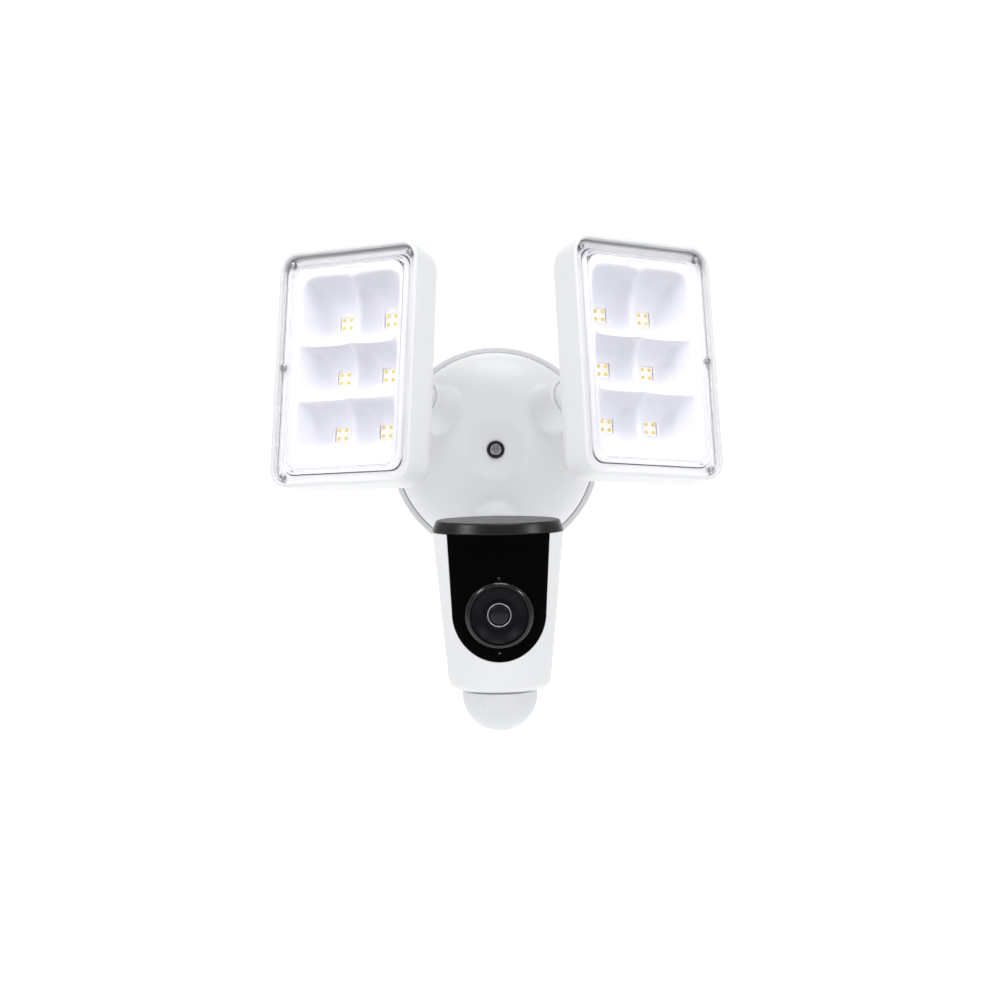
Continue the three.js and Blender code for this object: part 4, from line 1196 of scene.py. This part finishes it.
def body_skin(outer, inner):
    """A thin layer of the body's surface, between two offsets."""
    shell = body_solid(outer, BODY_FOOT - outer, BODY_TOP + 1)
    return cut(shell, body_solid(inner, BODY_FOOT - inner, BODY_TOP + 2))


def lens_bore():
    """What is taken away for the lens."""
    return moved(rod(setting("camera", "bezel") + 0.3, 60, 110, FRONT, 96), z=LENS_Z)


def dome_hole():
    """What is taken away for the dome's collar."""
    return moved(rod(18.9, -5, 8, UP, 96), 0, -BODY_CENTRE, BODY_FOOT)


class FLOODLIGHT_OT_camera_body(bpy.types.Operator):
    """Builds the front and back shells of the camera body"""

    bl_idname = "floodlight.camera_body"
    bl_label = "Camera body"

    def execute(self, context):
        reach, gap = 80, 0.15
        behind = box(120, reach, 160, 0, -SEAM - gap + reach / 2, -30)
        ahead = box(120, reach, 160, 0, -SEAM + gap - reach / 2, -30)
        recess = kept(body_skin(1, -1.8), panel_prism(0.3))
        front = cut(body_shell(), behind, recess, lens_bore(), dome_hole())
        add_piece("camera_front_shell", front, CAMERA, "camera_body", white_plastic(),
                  34)
        stem = CAMERA_HANG.inverted() @ STEM_SLOPE
        pad = turned_by(rod(8.5, 42.5, 53, FRONT, 64), stem)
        bolt = turned_by(rod(4.2, 37, 58, FRONT, 32), stem)
        slots = [soften(box(1.2, 20, 9, x, -45, -38), 0.4, 3) for x in (-6, -3, 0, 3, 6)]
        key_hole = moved(rod(3.3, 30, 55, FRONT, 32), z=KEY_Z)
        back = cut(joined(cut(body_shell(), ahead), pad), bolt, *slots, key_hole, dome_hole())
        add_piece("camera_back_shell", back, CAMERA, "camera_back", white_plastic(),
                  34)
        return {"FINISHED"}


class FLOODLIGHT_OT_visor(bpy.types.Operator):
    """Builds the black cap on top of the camera"""

    bl_idname = "floodlight.visor"
    bl_label = "Cap"

    def execute(self, context):
        w, d, top = setting("camera", "top_width"), setting("camera", "top_depth"), BODY_TOP
        outline = [
            (0.3, -1.2, 0), (0.5, -0.6, 0.6), (0.9, -0.4, 0.8), (4.1, -2.6, -2),
            (5.4, -3.7, -3.1), (5.9, -4.3, -3.7), (6.2, -5.1, -4.5), (6.3, -6.2, -5.6),
            (6.3, -8, -7.4), (6.3, -30, -26),
        ]
        levels = [(top + rise, w + wider, d + deeper) for rise, wider, deeper in outline]
        hollow = [(top - 1, w - 6.8, d - 6), (top + 4.1, w - 10.8, d - 10)]
        outer = moved(stack(levels, steps=128), y=-BODY_CENTRE)
        inner = moved(stack(hollow, steps=96), y=-BODY_CENTRE)
        pinhole = moved(rod(0.7, 0, 12, UP, 20), 0, -BODY_CENTRE - 14, top)
        made = cut(outer, inner, pinhole)
        add_piece("camera_cap", made, CAMERA, "camera_visor", cap_black(), 34)
        return {"FINISHED"}


class FLOODLIGHT_OT_lens(bpy.types.Operator):
    """Builds the front panel, the lens bezel, the stepped barrel, its metal ring and the glass"""

    bl_idname = "floodlight.lens"
    bl_label = "Front panel and lens"

    def execute(self, context):
        skin = kept(body_skin(0.1, -1.5), panel_prism(0))
        above = box(120, 120, 40, 0, -BODY_CENTRE, BODY_TOP + 20)
        pinholes = [moved(rod(0.7, 60, 110, FRONT, 20), z=LENS_Z + z) for z in PINHOLES]
        panel = cut(skin, above, lens_bore(), *pinholes)
        add_piece("camera_front_panel", panel, CAMERA, "front_panel", gloss_black(),
                  30)

        outer, bore = setting("camera", "bezel"), 15.7
        crown = [(outer, FACE - 0.4), (outer - 0.15, FACE + 0.15), (outer - 0.8, FACE + 0.95),
                 (outer - 1.6, FACE + 1.5), (bore + 0.4, FACE + 1.7), (bore + 0.1, FACE + 1.6)]
        bezel = lathe([(bore, FACE - 9), (outer, FACE - 9), *crown, (bore, FACE + 1.3)], FRONT, 128)

        rim = [(15.4, FACE + 0.55), (15.25, FACE + 0.8), (14.95, FACE + 0.8), (14.7, FACE + 0.5)]
        cone = [(12.6, FACE - 0.9), (10.4, FACE - 2.3), (9.6, FACE - 2.6), (8.3, FACE - 2.6)]
        step = [(8.0, FACE - 2.3), (8.0, FACE - 1.9), (7.8, FACE - 1.8), (6.6, FACE - 1.6)]
        tail = [(5.9, FACE - 16), (8, FACE - 16), (8, FACE - 8), (15.4, FACE - 8)]
        seat = [(6.5, FACE - 2.2), (5.9, FACE - 2.2)]
        barrel = lathe([*tail, *rim, *cone, *step, *seat], FRONT, 128)
        loop = arc((6.2, FACE - 1.5), 0.25, 0, 180, 6)
        hoop = lathe([(5.95, FACE - 2.2), (6.45, FACE - 2.2), *loop], FRONT, 96)

        crown = [
            (5.6 * cos(radians(a)), FACE - 2.6 + 1.7 * sin(radians(a))) for a in range(0, 91, 9)
        ]
        crown[-1] = (0, FACE - 0.9)
        glass = lathe([(0, FACE - 15), (5.6, FACE - 15), *crown], FRONT, 64)
        for name, bm, node, look, slot, smooth in (
            ("camera_lens_bezel", bezel, "lens_bezel", bezel_black(), "gloss_black", 40),
            ("camera_lens_barrel", barrel, "lens_barrel", matt_black(), "black_plastic", 30),
            ("camera_lens_hoop", hoop, "lens_barrel", bright_metal(), "black_plastic", 40),
            ("camera_lens_glass", glass, "lens_glass", dark_glass(), "lens_glass", 60),
        ):
            add_piece(name, moved(bm, z=LENS_Z), CAMERA, node, look, smooth)
        return {"FINISHED"}


class FLOODLIGHT_OT_dome(bpy.types.Operator):
    """Builds the frosted dome of the motion sensor, and the reset button"""

    bl_idname = "floodlight.dome"
    bl_label = "Sensor dome and button"

    def execute(self, context):
        radius, wall, skirt = setting("camera", "dome"), 1.2, 3.2
        outside = arc((0, -skirt), radius, 0, -90, 24)
        inside = arc((0, -skirt), radius - wall, -90, -18, 18)
        outside[-1] = (0, -skirt - radius)
        inside[0] = (0, -skirt - radius + wall)
        profile = [*inside, (17.4, -6 - skirt), (17.4, 4.6), (18.6, 4.6), (18.6, -0.4),
                   (radius - 0.4, -0.4), (radius, -0.8), *outside]
        dome = lathe(profile, UP, 96)
        add_piece("sensor_dome", moved(dome, 0, -BODY_CENTRE, BODY_FOOT), CAMERA, "pir_dome",
                  frosted(), 40)
        button = [(0, 43.3), (2.4, 43.3), (2.8, 43.45), (3, 43.8), (3, 47.9), (4, 47.9), (4, 48.9),
                  (1.6, 48.9), (1.6, 70), (0, 70)]
        add_piece("reset_key_cap", moved(lathe(button, FRONT, 40), z=KEY_Z), CAMERA, "reset_button",
                  rubber(), 34)
        return {"FINISHED"}


# ------------------------------------------------------------------------- pieces kept from CAD


class FLOODLIGHT_OT_inner_finishes(bpy.types.Operator):
    """Gives every CAD part that stays its own material"""

    bl_idname = "floodlight.inner_finishes"
    bl_label = "Finishes of the inner parts"

    def execute(self, context):
        looks = {
            steel(): ["crossbar_bracket", "box_screw_left", "box_screw_right", "cover_screw_left",
                      "cover_screw_right", "left_lamp_stem_nut", "right_lamp_stem_nut",
                      "camera_stem_nut", "pir_sensor"],
            plated("Brass-toned earth screw", (0.62, 0.5, 0.25), (0.4, 0.34, 0.2), 0.3):
                ["ground_screw"],
            rubber(): ["wall_gasket", "wire_grommet"],
            silicone(): ["left_lamp_gasket", "right_lamp_gasket"],
            green_mask(): ["driver_board", "main_board"],
            matt_black(): ["driver_transformer", "left_lamp_friction_cup",
                           "right_lamp_friction_cup", "camera_friction_cup", "image_sensor",
                           "speaker"],
            moulded("Wire sleeve", (0.02, 0.02, 0.022), 0.5):
                ["left_lamp_lead", "right_lamp_lead", "camera_lead"],
        }
        for material, nodes in looks.items():
            for node in nodes:
                for slot in frame["nodes"][node].material_slots:
                    slot.material = material
        return {"FINISHED"}


# ---------------------------------------------------------------------------------- the stage


def area_light(name, place, size, power):
    """A soft rectangular light that is turned to the object."""
    aim = (0, -0.08, -0.03)
    light = bpy.data.lights.new(name, "AREA")
    light.shape = "RECTANGLE"
    light.size, light.size_y = size
    light.energy = power
    made = bpy.data.objects.new(name, light)
    made.location = place
    made.rotation_euler = (Vector(aim) - Vector(place)).to_track_quat("-Z", "Y").to_euler()
    bpy.context.scene.collection.objects.link(made)


def backdrop_paper():
    """White paper that looks lit from behind to the camera, and lights the object only a little."""
    paper = moulded(
        "Backdrop paper", (0.93, 0.93, 0.93), 0.8, {"Emission Color": (1.0, 1.0, 1.0, 1.0)},
        tint=0.01,
    )
    tree = paper.node_tree
    seen = tree.nodes.new("ShaderNodeLightPath").outputs["Is Camera Ray"]
    glow = maths(tree, "MULTIPLY_ADD", seen, 0.6, 0.3)
    tree.links.new(glow, tree.nodes["Principled BSDF"].inputs["Emission Strength"])
    return paper


def backdrop():
    """A pale floor that turns up into a wall behind the object."""
    bm = bmesh.new()
    bmesh.ops.create_grid(bm, x_segments=1, y_segments=1, size=2.5)
    bmesh.ops.translate(bm, vec=(0, -1.3, 0), verts=bm.verts)
    edge = next(e for e in bm.edges if all(v.co.y > 0 for v in e.verts))
    made = bmesh.ops.extrude_edge_only(bm, edges=[edge])["geom"]
    top = [g for g in made if isinstance(g, bmesh.types.BMVert)]
    bmesh.ops.translate(bm, vec=(0, 0, 3), verts=top)
    corner = [e for e in bm.edges if len(e.link_faces) == 2]
    bmesh.ops.bevel(
        bm, geom=corner, offset=0.5, offset_type="OFFSET", affect="EDGES", segments=24,
        profile=0.5, material=-1,
    )
    bmesh.ops.translate(bm, vec=(0, 0, -0.42), verts=bm.verts)
    mesh = bpy.data.meshes.new("backdrop")
    bm.to_mesh(mesh)
    bm.free()
    mesh.shade_smooth()
    mesh.materials.append(backdrop_paper())
    made = bpy.data.objects.new("backdrop", mesh)
    bpy.context.scene.collection.objects.link(made)


def studio_world(strength):
    """Even light from all round."""
    world = bpy.data.worlds.new("Studio")
    bpy.context.scene.world = world
    world.use_nodes = True
    background = world.node_tree.nodes["Background"]
    background.inputs["Color"].default_value = (0.96, 0.975, 1.0, 1)
    background.inputs["Strength"].default_value = strength


def view_camera(stage):
    """The camera in front of the base, a little to one side, aimed below the base's centre."""
    turn, rise, roll = stage.turn, stage.rise, stage.roll
    right = Matrix.Rotation(turn, 3, "Z") @ Vector((1, 0, 0))
    ahead = Vector((-sin(turn) * cos(rise), cos(turn) * cos(rise), -sin(rise)))
    up = right.cross(ahead)
    right, up = right * cos(roll) + up * sin(roll), up * cos(roll) - right * sin(roll)
    place = -(up * stage.aim_down - right * stage.aim_right + ahead * stage.distance)
    data = bpy.data.cameras.new("View")
    data.lens, data.sensor_width = 65, 36
    data.clip_start, data.clip_end = 0.05, 20
    made = bpy.data.objects.new("View", data)
    turned = Matrix((right, up, -ahead)).transposed().to_4x4()
    made.matrix_world = Matrix.Translation(place) @ turned
    bpy.context.scene.collection.objects.link(made)
    bpy.context.scene.camera = made


class FLOODLIGHT_OT_stage(bpy.types.Operator):
    """Adds the camera, the soft studio lights and the pale floor"""

    bl_idname = "floodlight.stage"
    bl_label = "Stage"

    def execute(self, context):
        stage = context.scene.floodlight_stage
        context.scene.view_settings.view_transform = "Standard"
        view_camera(stage)
        backdrop()
        studio_world(stage.studio)
        area_light("Key left", (-0.80, -0.85, 0.72), (0.34, 0.34), stage.key)
        area_light("Key right", (0.92, -0.85, 0.62), (0.28, 0.28), stage.key * 0.75)
        area_light("Top", (0.1, -0.5, 1.15), (0.6, 0.6), stage.key * 1.3)
        area_light("Low strip", (0, -0.9, -0.75), (1.0, 0.2), stage.key * 0.1)
        return {"FINISHED"}


# ----------------------------------------------------------------------------------- add-on


PIECES = (
    FLOODLIGHT_OT_cover, FLOODLIGHT_OT_plate, FLOODLIGHT_OT_centre_screw, FLOODLIGHT_OT_joints,
    FLOODLIGHT_OT_heads, FLOODLIGHT_OT_camera_body, FLOODLIGHT_OT_visor, FLOODLIGHT_OT_lens,
    FLOODLIGHT_OT_dome, FLOODLIGHT_OT_inner_finishes, FLOODLIGHT_OT_stage,
)


class FLOODLIGHT_PT_panel(bpy.types.Panel):
    """Lists the builders and their settings"""

    bl_idname = "FLOODLIGHT_PT_panel"
    bl_label = "Floodlight camera"
    bl_space_type = "VIEW_3D"
    bl_region_type = "UI"
    bl_category = "Floodlight"

    def draw(self, context):
        for piece in PIECES:
            self.layout.operator(piece.bl_idname)
        for name, group in GROUPS.items():
            box = self.layout.box()
            box.label(text=group.__doc__)
            for value in group.__annotations__:
                box.prop(getattr(context.scene, name), value)


CLASSES = (*GROUPS.values(), *PIECES, FLOODLIGHT_PT_panel)


def register():
    for cls in CLASSES:
        bpy.utils.register_class(cls)
    for name, group in GROUPS.items():
        setattr(bpy.types.Scene, name, PointerProperty(type=group))


def unregister():
    for name in GROUPS:
        delattr(bpy.types.Scene, name)
    for cls in reversed(CLASSES):
        bpy.utils.unregister_class(cls)


def main():
    register()
    for piece in PIECES:
        group, name = piece.bl_idname.split(".")
        getattr(getattr(bpy.ops, group), name)()


if __name__ == "__main__":
    main()
